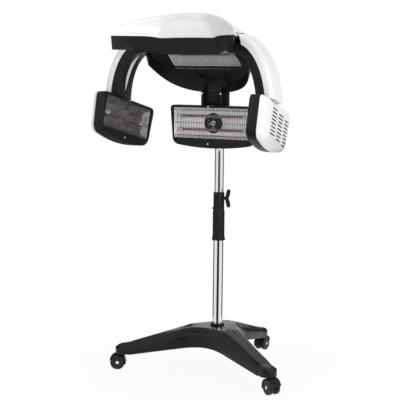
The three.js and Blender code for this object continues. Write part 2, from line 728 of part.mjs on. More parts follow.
function makeRearPanel(group) {
  const panel = rearPanel;
  const frame = new THREE.Group();
  frame.position.set(0, panel.faceY, panel.topZ - panel.height / 2);
  group.add(frame);
  const { width, height, radius, rise } = panel.window;
  const grow = 2 * (panel.ledge - seatGap);
  const guardY = panel.lip + seatGap;
  const trayY = guardY + guard.thickness + seatGap;
  const floorY = trayY + panel.reflectorDepth;

  addPiece(frame, "rear_housing", housing(panel), blackPlastic);
  addPiece(frame, "rear_guard", wireGuard(width + grow, height + grow, radius, rise, guardY), steel);
  const [depth, slope] = [panel.reflectorDepth, panel.reflectorSlope];
  const tray = reflector(width + grow, height + grow, radius, rise, depth, slope, trayY);
  const fanHole = bar("y", fan.bore + 1, trayY, floorY + 5, { z: rise }, 18);
  addPiece(frame, "rear_reflector", cut(tray, fanHole), mirrorSheet);

  const tubeLength = width - 2 * panel.reflectorSlope - 34;
  const tubeY = floorY - sheet - heater.blockRadius - seatGap;
  const tubes = { upper: rise + panel.tubeSpread, lower: rise - panel.tubeSpread };
  for (const [name, z] of Object.entries(tubes)) {
    addPiece(frame, "rear_tube_" + name, quartzTube(tubeLength, tubeY, z), quartz);
    const wire = heatingCoil(tubeLength - 4, tubeY, z, "rear_coil_" + name);
    addPiece(frame, "rear_coil_" + name, wire, heatingWire);
  }
  const footY = floorY - sheet - seatGap;
  for (const [end, side] of [["left", -1], ["right", 1]]) {
    const upper = endBlock(side, tubeLength, tubeY, tubes.upper, footY);
    const lower = endBlock(side, tubeLength, tubeY, tubes.lower, footY);
    const stripX = side * (tubeLength / 2 - heater.socket + heater.blockLength / 2);
    const strip = block(heater.blockLength, 4, 2 * panel.tubeSpread - 10, stripX, footY - 2, rise);
    addPiece(frame, "rear_block_" + end, joined(upper, lower, strip), ceramic);
  }

  const fanY = floorY + seatGap;
  const fanEnd = fanY + fan.depth;
  const plate = roundedRectangle(fan.side, fan.side, 8, rise);
  const body = cut(slab(plate, fanY, fanEnd), bar("y", fan.bore, fanY - 1, fanEnd + 1, { z: rise }, 18));
  const spokes = Array.from({ length: fan.spokes / 2 }, (_, i) => {
    const geometry = new THREE.BoxGeometry(fan.bore * 2 + 2, fan.spokeDepth, fan.spokeWidth);
    geometry.rotateY((i / fan.spokes) * 2 * Math.PI).translate(0, fanY + fan.spokeDepth / 2, rise);
    return solid(geometry);
  });
  const rings = fan.rings.map((radius) => {
    const outer = bar("y", radius + fan.spokeWidth / 2, fanY, fanY + fan.spokeDepth, { z: rise }, 12);
    return cut(outer, bar("y", radius - fan.spokeWidth / 2, fanY - 1, fanY + 9, { z: rise }, 12));
  });
  const nose = bar("y", fan.hub, fanY, fanY + fan.spokeDepth, { z: rise }, 12);
  const shaft = bar("y", fan.shaft, fanY, fanEnd, { z: rise }, 10);
  addPiece(frame, "fan_grille", joined(body, nose, shaft, ...spokes, ...rings), blackPlastic);

  const rotorFrom = fanY + fan.spokeDepth + seatGap;
  const rotorTo = fanEnd;
  const middleY = (rotorFrom + rotorTo) / 2;
  const hub = bar("y", fan.hub, rotorFrom, rotorTo, { z: rise }, 12);
  const bladeReach = fan.bore - 2;
  const blades = Array.from({ length: fan.blades }, (_, i) => {
    const length = bladeReach - fan.hub + 3;
    const geometry = new THREE.BoxGeometry(length, fan.bladeThickness, fan.bladeWidth);
    geometry.rotateX(radians(fan.bladePitch)).translate(fan.hub - 3 + length / 2, 0, 0);
    geometry.rotateY((i / fan.blades) * 2 * Math.PI).translate(0, middleY, rise);
    return solid(geometry);
  });
  const shaftHole = bar("y", fan.shaft + seatGap, rotorFrom - 1, rotorTo + 1, { z: rise }, 10);
  addPiece(frame, "fan_rotor", cut(joined(hub, ...blades), shaftHole), blackPlastic);
  addPiece(frame, "rear_cover", backCover(panel, 1, 5, 1, 11, 70), whitePlastic);
}

// Neck

function makeNeck(group) {
  const bottom = rearPanel.topZ + seatGap;
  const front = rearPanel.faceY + 6;
  const back = front + neck.ribDepth + neck.wall;
  const height = neck.top - bottom;
  const middle = bottom + height / 2;
  const web = block(neck.halfWidth * 2, neck.wall, height, 0, back - neck.wall / 2, middle);
  const ribY = back - neck.wall - neck.ribDepth / 2 + 0.5;
  const ribs = [-1, 1].map((side) =>
    block(neck.rib, neck.ribDepth + 1, height, side * neck.ribAt, ribY, middle),
  );
  const lugEye = bar("x", tilt.earRadius, -tilt.lugWidth / 2, tilt.lugWidth / 2, { z: tilt.height }, 14);
  const lugReach = 2 - back;
  const lugY = back - 2 + lugReach / 2;
  const lugArm = block(tilt.lugWidth, lugReach, tilt.earRadius * 1.4, 0, lugY, tilt.height);
  const pinHole = bar("x", tilt.pinRadius + seatGap, -60, 60, { z: tilt.height }, 12);
  const lowest = (y) => skirtFoot(y) - seatGap;
  const highest = (y) => rimHeight(y) + canopy.apex - canopy.rim;
  const envelope = loft([
    canopyRing(canopy.skirtInset - seatGap, lowest, canopy.ceilingShare),
    canopyRing(canopy.skirtInset - seatGap, lowest),
    canopyRing(-seatGap, rimHeight),
    canopyRing(-seatGap, highest),
    canopyRing(-seatGap, highest, canopy.ceilingShare),
  ]);
  addPiece(group, "neck", cut(joined(web, ...ribs, lugEye, lugArm), envelope, pinHole), blackPlastic);
}

// Canopy

const rearSlope = Math.tan(radians(canopy.rearDown));

// The height of the canopy's rim, with a soft bend between its level front and its sloping rear.
function rimHeight(y) {
  const past = y - canopy.bendY;
  if (past < -canopy.bendHalf) return canopy.rim;
  if (past > canopy.bendHalf) return canopy.rim - rearSlope * past;
  return canopy.rim - (rearSlope * (past + canopy.bendHalf) ** 2) / (4 * canopy.bendHalf);
}

// The plan outline of the canopy, moved inwards by a distance. A point keeps the y of the edge it came from.
function canopyOutline(inset) {
  const tips = [-1, 1].map((side) => new THREE.Vector2(side * canopy.halfWidth, canopy.tipY));
  const creases = [-1, 1].map((side) => new THREE.Vector2(side * canopy.creaseX, canopy.creaseY));
  const points = [
    ...steppedLine(tips[0], creases[0], canopy.wingSteps),
    ...steppedLine(creases[0], creases[1], canopy.middleSteps),
    ...steppedLine(creases[1], tips[1], canopy.wingSteps),
  ];
  const power = 2 / canopy.planPower;
  for (let i = 0; i < canopy.rearSteps; i++) {
    const turn = (i / canopy.rearSteps) * Math.PI;
    const [c, s] = [Math.cos(turn), Math.sin(turn)];
    const x = canopy.halfWidth * Math.sign(c) * Math.abs(c) ** power;
    points.push(new THREE.Vector2(x, canopy.tipY + (canopy.rearY - canopy.tipY) * Math.abs(s) ** power));
  }
  return points.map((p, i) => {
    const before = points[(i + points.length - 1) % points.length];
    const after = points[(i + 1) % points.length];
    const first = p.clone().sub(before).normalize();
    const second = after.clone().sub(p).normalize();
    const inward = new THREE.Vector2(-first.y - second.y, first.x + second.x).normalize();
    const stretch = Math.max(0.5, inward.x * -first.y + inward.y * first.x);
    const moved = p.clone().addScaledVector(inward, inset / stretch);
    return { x: moved.x, y: moved.y, edgeY: p.y };
  });
}

// One ring of the canopy at the heights of a curve over y, moved inwards and then drawn in to a middle point.
function canopyRing(inset, heightAt, share = 1) {
  return canopyOutline(inset).map((p) => {
    const y = canopy.ceilingMiddleY + (p.y - canopy.ceilingMiddleY) * share;
    return new THREE.Vector3(p.x * share, y, heightAt(y));
  });
}

// A ring beside the canopy's edge that keeps the edge's own heights, so that the hood sits flat on the bowl.
function rimRing(inset) {
  return canopyOutline(inset).map((p) => new THREE.Vector3(p.x, p.y, rimHeight(p.edgeY) - seatGap));
}

// The rings of one side of the hood, from its rim up to its apex.
function hoodRings(inset) {
  const shares = [1, 0.96, 0.86, 0.66, 0.35];
  return shares.map((share) => {
    const rise = Math.sqrt(1 - share ** canopy.crownPower);
    return canopyOutline(inset).map((p) => {
      const y = canopy.apexY + (p.y - canopy.apexY) * share;
      const rim = rimHeight(p.edgeY);
      return new THREE.Vector3(p.x * share, y, rim + (canopy.apex - inset - rim) * rise);
    });
  });
}

// The height of the canopy's ceiling, which falls away from its rim towards the rear.
function ceilingHeight(y) {
  return rimHeight(y) + canopy.ceiling - canopy.ceilingDrop * Math.max(0, y - canopy.ceilingDropY);
}
const ceilingTop = (y) => ceilingHeight(y) + canopy.ceilingWall;
const skirtFoot = (y) => rimHeight(y) - canopy.skirtDepth;

// The crown heater's frame lies on the ceiling, with z out of the crown.
const crownMatrix = new THREE.Matrix4()
  .makeTranslation(0, crown.y, ceilingTop(crown.y))
  .multiply(new THREE.Matrix4().makeRotationX(-Math.atan(rearSlope + canopy.ceilingDrop)));

const pivotOf = (side) => ({ x: side * arm.pivot.x, z: arm.pivot.z });

// The space that an arm sweeps as it swings, grown by the clearance.
function swingSpace(side) {
  const reach = arm.width / 2 + swingGap;
  const at = pivotOf(side);
  const knuckle = bar("y", arm.half + swingGap, arm.y - reach, arm.y + reach, at, 16);
  const turns = [-arm.swingIn, arm.swingOut / 3, arm.swingOut];
  const bands = turns.map((turn) => {
    const shape = armBand(side, arm.half + swingGap, -arm.half - swingGap);
    const geometry = geometryOf(slab(shape, arm.y - reach, arm.y + reach, 5));
    geometry.translate(-at.x, 0, -at.z).rotateY(-side * radians(turn)).translate(at.x, 0, at.z);
    return solid(geometry);
  });
  return joined(knuckle, ...bands);
}

function makeCanopy(group) {
  const notches = [-1, 1].map(swingSpace);
  const dome = loft([...hoodRings(canopy.wall).reverse(), ...hoodRings(0)]);
  addPiece(group, "hood_cover", cut(dome, ...notches), whitePlastic);

  const underside = canopy.ceilingInset + canopy.skirtWall;
  const corner = (y) => Math.min(rimHeight(y) - canopy.rimThickness, ceilingHeight(y) - canopy.ceilingWall);
  const bowl = loft([
    canopyRing(canopy.ceilingInset, ceilingTop, canopy.ceilingShare),
    canopyRing(canopy.ceilingInset, ceilingTop),
    rimRing(canopy.rimLedge),
    rimRing(0),
    canopyRing(canopy.skirtInset, skirtFoot),
    canopyRing(canopy.skirtInset + canopy.skirtWall, skirtFoot),
    canopyRing(canopy.rimLedge + canopy.skirtWall, corner),
    canopyRing(underside, ceilingHeight),
    canopyRing(underside, ceilingHeight, canopy.ceilingShare),
  ]);
  const window = new THREE.BoxGeometry(crown.width, crown.height, 30).applyMatrix4(crownMatrix);
  const bosses = [];
  for (const side of [-1, 1]) {
    for (const end of [-1, 1]) {
      const from = arm.y + end * (arm.width / 2 + swingGap + 0.5);
      const to = from + end * arm.bossLength;
      const at = pivotOf(side);
      const boss = bar("y", arm.bossRadius, Math.min(from, to), Math.max(from, to), at, 10);
      const middleY = (from + to) / 2;
      const roof = (ceilingHeight(middleY) + ceilingTop(middleY)) / 2;
      const size = Math.abs(roof - at.z) + 2;
      const web = block(arm.bossRadius * 1.6, arm.bossLength - 0.6, size, at.x, middleY, (roof + at.z) / 2);
      bosses.push(boss, web);
    }
  }
  const pinHoles = [-1, 1].map((side) =>
    bar("y", arm.pinRadius + seatGap, arm.y - arm.width, arm.y + arm.width, pivotOf(side), 10),
  );
  const shell = cut(bowl, solid(window), ...notches);
  const cheeks = cut(joined(shell, ...bosses), ...pinHoles);
  addPiece(group, "canopy_shell", cheeks, blackPlastic);
}

function makeCrownHeater(group) {
  const frame = new THREE.Group();
  frame.applyMatrix4(crownMatrix);
  const turnedUp = new THREE.Group();
  turnedUp.rotation.x = Math.PI / 2;
  frame.add(turnedUp);
  group.add(frame);
  const [width, height] = [crown.width + 2 * crown.flange, crown.height + 2 * crown.flange];
  const guardY = seatGap;
  const trayY = guardY + guard.thickness + seatGap;
  const floorY = trayY + crown.reflectorDepth;
  addPiece(turnedUp, "crown_guard", wireGuard(width, height, crown.radius, 0, guardY), steel);
  const tray = reflector(width, height, crown.radius, 0, crown.reflectorDepth, crown.reflectorSlope, trayY);
  addPiece(turnedUp, "crown_reflector", tray, mirrorSheet);
  const tubeLength = crown.width - 2 * crown.reflectorSlope - 24;
  const tubeY = floorY - sheet - heater.blockRadius - 4;
  addPiece(turnedUp, "crown_tube", quartzTube(tubeLength, tubeY, crown.tubeRise), quartz);
  const wire = heatingCoil(tubeLength - 4, tubeY, crown.tubeRise, "crown_coil");
  addPiece(turnedUp, "crown_coil", wire, heatingWire);
  for (const [end, side] of [["left", -1], ["right", 1]]) {
    const holder = endBlock(side, tubeLength, tubeY, crown.tubeRise, floorY - sheet - seatGap);
    addPiece(turnedUp, "crown_block_" + end, holder, ceramic);
  }
}

// Side arms and panels

// The arm's outline at a distance inside or outside its middle line.
function armBand(side, outer, inner) {
  const [reach, drop] = [arm.end.x - arm.pivot.x, arm.pivot.z - arm.end.z];
  const { x, z } = arm.pivot;
  const shape = new THREE.Shape();
  shape.absellipse(x, arm.end.z, reach + outer, drop + outer, Math.PI / 2, 0, true);
  shape.absellipse(x, arm.end.z, reach + inner, drop + inner, 0, Math.PI / 2);
  if (inner === -arm.half) shape.absarc(x, z, arm.half, -Math.PI / 2, Math.PI / 2, true);
  if (side > 0) return shape;
  return new THREE.Shape(shape.getPoints(6).map((p) => new THREE.Vector2(-p.x, p.y)).reverse());
}

// The region outside the line where the arm's cover meets its frame.
function coverRegion(side, gap) {
  const split = arm.half - arm.coverShare + gap;
  const [reach, drop] = [arm.end.x - arm.pivot.x + split, arm.pivot.z - arm.end.z + split];
  const { x } = arm.pivot;
  const far = arm.end.x + arm.half + 50;
  const high = arm.pivot.z + arm.half + 50;
  const shape = new THREE.Shape();
  shape.moveTo(x - 90, arm.pivot.z + split);
  shape.absellipse(x, arm.end.z, reach, drop, Math.PI / 2, 0, true);
  shape.lineTo(arm.end.x + split, arm.end.z - 60);
  shape.lineTo(far, arm.end.z - 60);
  shape.lineTo(far, high);
  shape.lineTo(x - 90, high);
  if (side > 0) return shape;
  return new THREE.Shape(shape.getPoints(6).map((p) => new THREE.Vector2(-p.x, p.y)).reverse());
}

function slotRegion(side) {
  const inner = -arm.half - 5;
  const outer = arm.half - arm.coverShare + 2;
  const [reach, drop] = [arm.end.x - arm.pivot.x, arm.pivot.z - arm.end.z];
  const { x } = arm.pivot;
  const [from, to] = [radians(90 - arm.slotFrom), radians(90 - arm.slotTo)];
  const shape = new THREE.Shape();
  shape.absellipse(x, arm.end.z, reach + outer, drop + outer, from, to, true);
  shape.absellipse(x, arm.end.z, reach + inner, drop + inner, to, from);
  if (side > 0) return shape;
  return new THREE.Shape(shape.getPoints(6).map((p) => new THREE.Vector2(-p.x, p.y)).reverse());
}

function makeSide(group, name, side) {
  const panel = sidePanel;
  const frame = new THREE.Group();
  frame.position.set(side * panel.centre.x, panel.centre.y, panel.centre.z);
  frame.rotation.set(-radians(panel.frontUp), 0, -side * radians(90 - panel.toeOut));
  group.add(frame);
  frame.updateMatrix();

  const { width, height, radius, rise } = panel.window;
  const grow = 2 * (panel.ledge - seatGap);
  const guardY = panel.lip + seatGap;
  const trayY = guardY + guard.thickness + seatGap;
  const floorY = trayY + panel.reflectorDepth;
  addPiece(frame, "panel_housing_" + name, housing(panel), blackPlastic);
  const wires = wireGuard(width + grow, height + grow, radius, rise, guardY);
  addPiece(frame, "panel_guard_" + name, wires, steel);
  const [depth, slope] = [panel.reflectorDepth, panel.reflectorSlope];
  const tray = reflector(width + grow, height + grow, radius, rise, depth, slope, trayY);
  addPiece(frame, "panel_reflector_" + name, tray, mirrorSheet);
  const tubeLength = width - 2 * panel.reflectorSlope - 34;
  const tubeY = floorY - sheet - heater.blockRadius - 1;
  const holders = [-1, 1].map((end) => endBlock(end, tubeLength, tubeY, rise, floorY - sheet - seatGap));
  addPiece(frame, "panel_tube_" + name, quartzTube(tubeLength, tubeY, rise), quartz);
  addPiece(frame, "panel_block_front_" + name, side < 0 ? holders[0] : holders[1], ceramic);
  addPiece(frame, "panel_block_rear_" + name, side < 0 ? holders[1] : holders[0], ceramic);
  const cover = backCover(panel, vents.columns, vents.rows, vents.pitchX, vents.pitchZ, vents.length);
  addPiece(frame, "panel_cover_" + name, cover, whitePlastic);

  const edge = arm.edge;
  const options = {
    depth: arm.width - 2 * edge,
    bevelEnabled: true,
    bevelThickness: edge,
    bevelSize: edge,
    bevelOffset: -edge,
    bevelSegments: 1,
    curveSegments: 6,
  };
  const band = new THREE.ExtrudeGeometry(armBand(side, arm.half, -arm.half), options);
  band.rotateX(Math.PI / 2).translate(0, arm.y + arm.width / 2 - edge, 0);
  const panelKeepOut = slab(panelOutline(panel), -seatGap, panel.depth + panel.coverDepth + 2 * seatGap);
  const lifted = geometryOf(panelKeepOut).translate(0, 0, seatGap).applyMatrix4(frame.matrix);
  const whole = cut(solid(band), solid(lifted));
  const [front, back] = [arm.y - arm.width / 2 - 5, arm.y + arm.width / 2 + 5];
  const region = slab(coverRegion(side, seatGap), front, back, 6);
  const wider = slab(coverRegion(side, 0), front, back, 6);
  const hollowHalf = arm.width / 2 - arm.coverWall - 2;
  const hollowBand = armBand(side, arm.half - arm.coverWall, arm.half - arm.coverShare - 1);
  const hollow = slab(hollowBand, arm.y - hollowHalf, arm.y + hollowHalf, 6);
  const pinHole = bar("y", arm.pinRadius + seatGap, front, back, pivotOf(side), 10);
  addPiece(group, "arm_cover_" + name, cut(whole.intersect(region), hollow, pinHole), whitePlastic);
  const slot = slab(slotRegion(side), arm.y - arm.slotWidth / 2, arm.y + arm.slotWidth / 2, 6);
  addPiece(group, "arm_frame_" + name, cut(whole, wider, slot, pinHole), blackPlastic);
  const pinReach = arm.width / 2 + swingGap + arm.bossLength;
  const pin = bar("y", arm.pinRadius, arm.y - pinReach, arm.y + pinReach, pivotOf(side), 10);
  addPiece(group, "arm_pin_" + name, pin, steel);
}

// Assembly

const processor = new THREE.Group();
processor.name = "hair_color_processor";
const whole = new THREE.Group();
processor.add(whole);
makeBase(whole);
for (const [side, angle] of Object.entries(legAngles)) makeFoot(whole, side, angle);
makeColumn(whole);
makeRearPanel(whole);
makeNeck(whole);
makeCanopy(whole);
makeCrownHeater(whole);
makeSide(whole, "left", -1);
makeSide(whole, "right", 1);

const extent = new THREE.Box3().setFromObject(processor, true);
whole.position.y = -(extent.min.y + extent.max.y) / 2;
whole.position.x = -(extent.min.x + extent.max.x) / 2;
whole.position.z = -extent.min.z;

export default processor;
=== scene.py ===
import json
import math

import bmesh
import bpy
from mathutils import Matrix, Vector


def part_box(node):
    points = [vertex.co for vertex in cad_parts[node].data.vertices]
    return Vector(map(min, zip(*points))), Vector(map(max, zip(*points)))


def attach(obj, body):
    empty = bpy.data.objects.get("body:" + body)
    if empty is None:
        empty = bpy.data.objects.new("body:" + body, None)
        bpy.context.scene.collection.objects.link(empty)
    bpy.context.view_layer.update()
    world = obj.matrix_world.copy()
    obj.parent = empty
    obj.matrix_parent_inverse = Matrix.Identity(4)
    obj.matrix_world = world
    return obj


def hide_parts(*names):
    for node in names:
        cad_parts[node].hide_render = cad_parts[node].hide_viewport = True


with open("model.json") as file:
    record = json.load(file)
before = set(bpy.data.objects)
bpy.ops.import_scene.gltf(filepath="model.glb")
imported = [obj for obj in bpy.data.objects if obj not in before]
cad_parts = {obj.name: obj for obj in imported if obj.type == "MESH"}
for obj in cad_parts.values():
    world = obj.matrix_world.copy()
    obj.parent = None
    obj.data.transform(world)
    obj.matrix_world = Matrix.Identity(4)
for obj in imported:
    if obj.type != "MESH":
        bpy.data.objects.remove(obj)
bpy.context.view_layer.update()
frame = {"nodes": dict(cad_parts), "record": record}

NODES = frame["nodes"]
RECORD = frame["record"]
BODY_OF = {n: body for body, names in RECORD["behaviour"]["bodies"].items() for n in names}
SLOT_OF = {row["node"]: row["material_slot"] for row in RECORD["subparts"]}
JOINTS = {joint["name"]: joint for joint in RECORD["behaviour"]["joints"]}
SIDES = {"left": -1, "right": 1}

# Shapes are drawn in millimetres about the pole's axis, and mesh_of() moves them into the frame.
MILLIMETRE = 0.001
TUBE_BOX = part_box("lower_tube")
POLE_Y = (TUBE_BOX[0].y + TUBE_BOX[1].y) / 2 / MILLIMETRE
TO_FRAME = Matrix.Scale(MILLIMETRE, 4) @ Matrix.Translation((0, POLE_Y, 0))
X, Y, Z = 0, 1, 2


def span(node, axis):
    """A CAD node's reach along an axis, as the shapes are drawn."""
    shift = POLE_Y if axis == Y else 0
    return [round(corner[axis] / MILLIMETRE - shift, 2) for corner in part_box(node)]


def joint_at(name):
    """A joint's place, as the shapes are drawn."""
    x, y, z = (value / MILLIMETRE for value in JOINTS[name]["pos_m"])
    return round(x, 2), round(y - POLE_Y, 2), round(z, 2)


# Materials

NOISE_RANGE, RAMP_ENDS = (0.3, 0.7), (0.35, 0.65)
PATCH_DETAIL, GRAIN_DETAIL, GRAIN_STRENGTH = 5.0, 3.0, 0.35


def add_node(tree, kind, inputs, operation=None):
    """A new shader node, whose inputs are plain values or other nodes' outputs."""
    made = tree.nodes.new("ShaderNode" + kind)
    if operation:
        made.operation = operation
    for name, value in inputs.items():
        if isinstance(value, bpy.types.NodeSocket):
            tree.links.new(value, made.inputs[name])
        else:
            made.inputs[name].default_value = value
    return made.outputs


def set_sockets(material, values):
    sockets = material.node_tree.nodes["Principled BSDF"].inputs
    for name, value in values.items():
        sockets[name].default_value = value


def shader(name, color, roughness, metallic=0.0):
    material = bpy.data.materials.new(name)
    material.use_nodes = True
    set_sockets(material, {"Base Color": (*color, 1), "Roughness": roughness, "Metallic": metallic})
    tree = material.node_tree
    return material, tree, tree.nodes["Principled BSDF"]


def noise(tree, scale, detail=4.0, stretch=(1, 1, 1)):
    place = add_node(tree, "TexCoord", {})["Object"]
    vector = add_node(tree, "Mapping", {"Vector": place, "Scale": stretch})["Vector"]
    return add_node(tree, "TexNoise", {"Vector": vector, "Scale": scale, "Detail": detail})["Fac"]


def ramp(tree, value, low, high):
    colors = tree.nodes.new("ShaderNodeValToRGB")
    for stop, position, color in zip(colors.color_ramp.elements, RAMP_ENDS, (low, high)):
        stop.position = position
        stop.color = (*color, 1)
    tree.links.new(value, colors.inputs["Fac"])
    return colors.outputs["Color"]


def map_range(tree, value, source, target):
    return add_node(tree, "MapRange", {"Value": value, "From Min": source[0], "From Max": source[1],
                                       "To Min": target[0], "To Max": target[1]})["Result"]


def surface(name, low, high, rough, metallic=0.0, patch=6.0, grain=900.0, depth=0.00004, stretch=(1, 1, 1)):
    """A material whose colour and roughness drift in patches, under a fine grain."""
    middle = [(a + b) / 2 for a, b in zip(low, high)]
    material, tree, principled = shader(name, middle, sum(rough) / 2, metallic)
    patches = noise(tree, patch, PATCH_DETAIL, stretch)
    raised = noise(tree, grain, GRAIN_DETAIL, stretch)
    relief = add_node(tree, "Bump", {"Strength": GRAIN_STRENGTH, "Distance": depth, "Height": raised})
    tree.links.new(ramp(tree, patches, low, high), principled.inputs["Base Color"])
    tree.links.new(map_range(tree, patches, NOISE_RANGE, rough), principled.inputs["Roughness"])
    tree.links.new(relief["Normal"], principled.inputs["Normal"])
    return material


BLACK = surface("black_moulded_plastic", (0.006, 0.006, 0.007), (0.0105, 0.0103, 0.012), (0.34, 0.46))
set_sockets(BLACK, {"Specular IOR Level": 0.15})
BASE_BLACK = surface("black_gloss_base", (0.004, 0.004, 0.0042), (0.0075, 0.0075, 0.008), (0.2, 0.3))
set_sockets(BASE_BLACK, {"Specular IOR Level": 0.22})
WHITE = surface("white_gloss_plastic", (0.79, 0.785, 0.79), (0.84, 0.836, 0.84), (0.24, 0.34),
                grain=500.0, depth=0.00002)
set_sockets(WHITE, {"Coat Weight": 0.2, "Coat Roughness": 0.1})
CHROME = surface("polished_chrome", (0.72, 0.715, 0.71), (0.82, 0.82, 0.83), (0.05, 0.1), 1.0,
                 patch=14.0, grain=260.0, depth=0.00001, stretch=(3, 3, 0.2))
STEEL = surface("drawn_steel_wire", (0.5, 0.5, 0.53), (0.66, 0.66, 0.7), (0.22, 0.34), 1.0,
                patch=30.0, grain=600.0)
GUARD_WIRE = surface("darkened_guard_wire", (0.05, 0.05, 0.055), (0.11, 0.108, 0.115), (0.3, 0.45), 0.5,
                     patch=40.0, grain=600.0)
REFLECTOR = surface("pressed_reflector_sheet", (0.9, 0.885, 0.9), (0.98, 0.965, 0.98), (0.22, 0.34), 0.25,
                    patch=18.0, grain=60.0, depth=0.00006)
# A darker copy of the reflector sheet for the side panels: painted shade, not a different finish.
REFLECTOR_PAINTED_SHADE = surface("reflector_sheet_with_painted_shade", (0.2, 0.2, 0.21), (0.46, 0.45, 0.47), (0.3, 0.5), 1.0,
                     patch=26.0, grain=60.0, depth=0.00008, stretch=(1, 1, 3))
CERAMIC = surface("fired_ceramic", (0.66, 0.58, 0.33), (0.84, 0.78, 0.55), (0.5, 0.7),
                  patch=90.0, grain=700.0)
WIRE = surface("oxidised_heating_wire", (0.22, 0.025, 0.016), (0.42, 0.06, 0.035), (0.35, 0.55), 0.25,
               patch=60.0)
WHEEL = surface("caster_plastic", (0.006, 0.006, 0.0065), (0.011, 0.011, 0.012), (0.3, 0.45), patch=20.0)
set_sockets(WHEEL, {"Specular IOR Level": 0.25})
ZINC = surface("zinc_screw_head", (0.6, 0.6, 0.6), (0.8, 0.8, 0.78), (0.25, 0.4), 0.9, patch=120.0)
QUARTZ = surface("quartz_glass", (0.9, 0.87, 0.86), (0.97, 0.95, 0.95), (0.03, 0.09),
                 patch=25.0, grain=80.0, depth=0.00002)
set_sockets(QUARTZ, {"Transmission Weight": 0.94, "IOR": 1.12})

BY_SLOT = {"black_plastic": BLACK, "white_plastic": WHITE, "chrome": CHROME, "steel": STEEL,
           "reflector": REFLECTOR, "ceramic": CERAMIC, "quartz": QUARTZ, "heating_wire": WIRE,
           "wheel_plastic": WHEEL}
SLOT_FOR = {material: slot for slot, material in BY_SLOT.items()}
SLOT_FOR.update({BASE_BLACK: "black_plastic", GUARD_WIRE: "steel", ZINC: "steel"})
for node_name, node_object in NODES.items():
    node_object.data.materials.clear()
    node_object.data.materials.append(BY_SLOT[SLOT_OF[node_name]])


# Mesh building

SAME_POINT, CAD_WELD = 0.000001, 0.00001
FLAT_ANGLE = 1.5
BEVEL_SEGMENTS = 2


def cos_sin(degrees):
    angle = math.radians(degrees)
    return math.cos(angle), math.sin(angle)


def turned(profile, segments):
    """Rings about z, one for each (radius, height) of a profile."""
    turns = [2 * math.pi * k / segments for k in range(segments)]
    return [[(r * math.cos(t), r * math.sin(t), height) for t in turns] for r, height in profile]


class Form:
    """Vertices and faces of one piece, in millimetres."""

    def __init__(self):
        self.points = []
        self.faces = []

    def add(self, points, faces, matrix=None):
        start = len(self.points)
        points = [Vector(p) for p in points]
        self.points += [matrix @ p for p in points] if matrix else points
        self.faces += [[start + i for i in face] for face in faces]
        return self

    def loft(self, rings, join=False, matrix=None):
        """Rings of points joined in order, closed by end faces or back to the first ring."""
        count = len(rings[0])
        faces = []
        for ring in range(len(rings) if join else len(rings) - 1):
            a, b = ring * count, (ring + 1) % len(rings) * count
            faces += [[a + k, a + (k + 1) % count, b + (k + 1) % count, b + k] for k in range(count)]
        if not join:
            faces.append(list(range(count))[::-1])
            faces.append([(len(rings) - 1) * count + k for k in range(count)])
        return self.add([p for ring in rings for p in ring], faces, matrix)

    def lathe(self, profile, segments, matrix=None):
        """A closed profile of (radius, height) pairs turned about z."""
        return self.loft(turned(profile, segments), True, matrix)

    def spindle(self, profile, segments, matrix=None):
        """A solid body turned about z, with flat ends."""
        return self.loft(turned(profile, segments), False, matrix)

    def sweep(self, path, radius, sides, matrix=None):
        """A round bar along a path."""
        path = [Vector(p) for p in path]
        tangents = [(b - a).normalized() for a, b in zip(path[:1] + path[:-1], path[1:] + path[-1:])]
        normal = tangents[0].orthogonal().normalized()
        circle = turned([(radius, 0)], sides)[0]
        rings = []
        for point, tangent in zip(path, tangents):
            normal = (normal - tangent * normal.dot(tangent)).normalized()
            across = tangent.cross(normal)
            rings.append([point + normal * x + across * y for x, y, _ in circle])
        return self.loft(rings, False, matrix)

    def slab(self, outline, start, end, matrix=None):
        """An outline in x and z, filled from one y to another."""
        rings = [[(x, y, z) for x, z in outline] for y in (start, end)]
        return self.loft(rings, False, matrix)

    def block(self, size, centre, matrix=None):
        half = [s / 2 for s in size]
        rings = [[(centre[0] + i * half[0], centre[1] + j * half[1], centre[2] + k * half[2])
                  for i, j in ((-1, -1), (1, -1), (1, 1), (-1, 1))] for k in (-1, 1)]
        return self.loft(rings, False, matrix)


def mesh_of(form, name):
    mesh = bpy.data.meshes.new(name)
    mesh.from_pydata([TO_FRAME @ p for p in form.points], [], form.faces)
    work = bmesh.new()
    work.from_mesh(mesh)
    bmesh.ops.remove_doubles(work, verts=work.verts, dist=SAME_POINT)
    bmesh.ops.recalc_face_normals(work, faces=work.faces)
    work.to_mesh(mesh)
    work.free()
    return mesh


def round_edges(mesh, width, steepest):
    """Bevels the edges that turn more than an angle."""
    work = bmesh.new()
    work.from_mesh(mesh)
    edges = [e for e in work.edges if e.is_manifold and e.calc_face_angle(0) > math.radians(steepest)]
    if edges:
        bmesh.ops.bevel(work, geom=edges, offset=width * MILLIMETRE, offset_type="OFFSET",
                        segments=BEVEL_SEGMENTS, profile=0.5, affect="EDGES", clamp_overlap=True)
    work.to_mesh(mesh)
    work.free()


def finish_piece(obj, body, material, stands_for=None, sharp=38):
    mesh = obj.data
    mesh.materials.clear()
    mesh.materials.append(material)
    for face in mesh.polygons:
        face.material_index = 0
    mesh.shade_smooth()
    mesh.set_sharp_from_angle(angle=math.radians(sharp))
    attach(obj, body)
    if stands_for:
        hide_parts(stands_for)
    return obj


def placed(data, name):
    obj = bpy.data.objects.new(name, data)
    bpy.context.scene.collection.objects.link(obj)
    return obj


def carve(obj, form):
    """Cuts the form's bodies out of an object."""
    cutter = placed(mesh_of(form, "cutter"), "cutter")
    change = obj.modifiers.new("carve", "BOOLEAN")
    change.operation = "DIFFERENCE"
    change.solver = "EXACT"
    change.use_self = True
    change.object = cutter
    graph = bpy.context.evaluated_depsgraph_get()
    made = bpy.data.meshes.new_from_object(obj.evaluated_get(graph))
    obj.modifiers.clear()
    obj.data = made
    bpy.data.objects.remove(cutter)


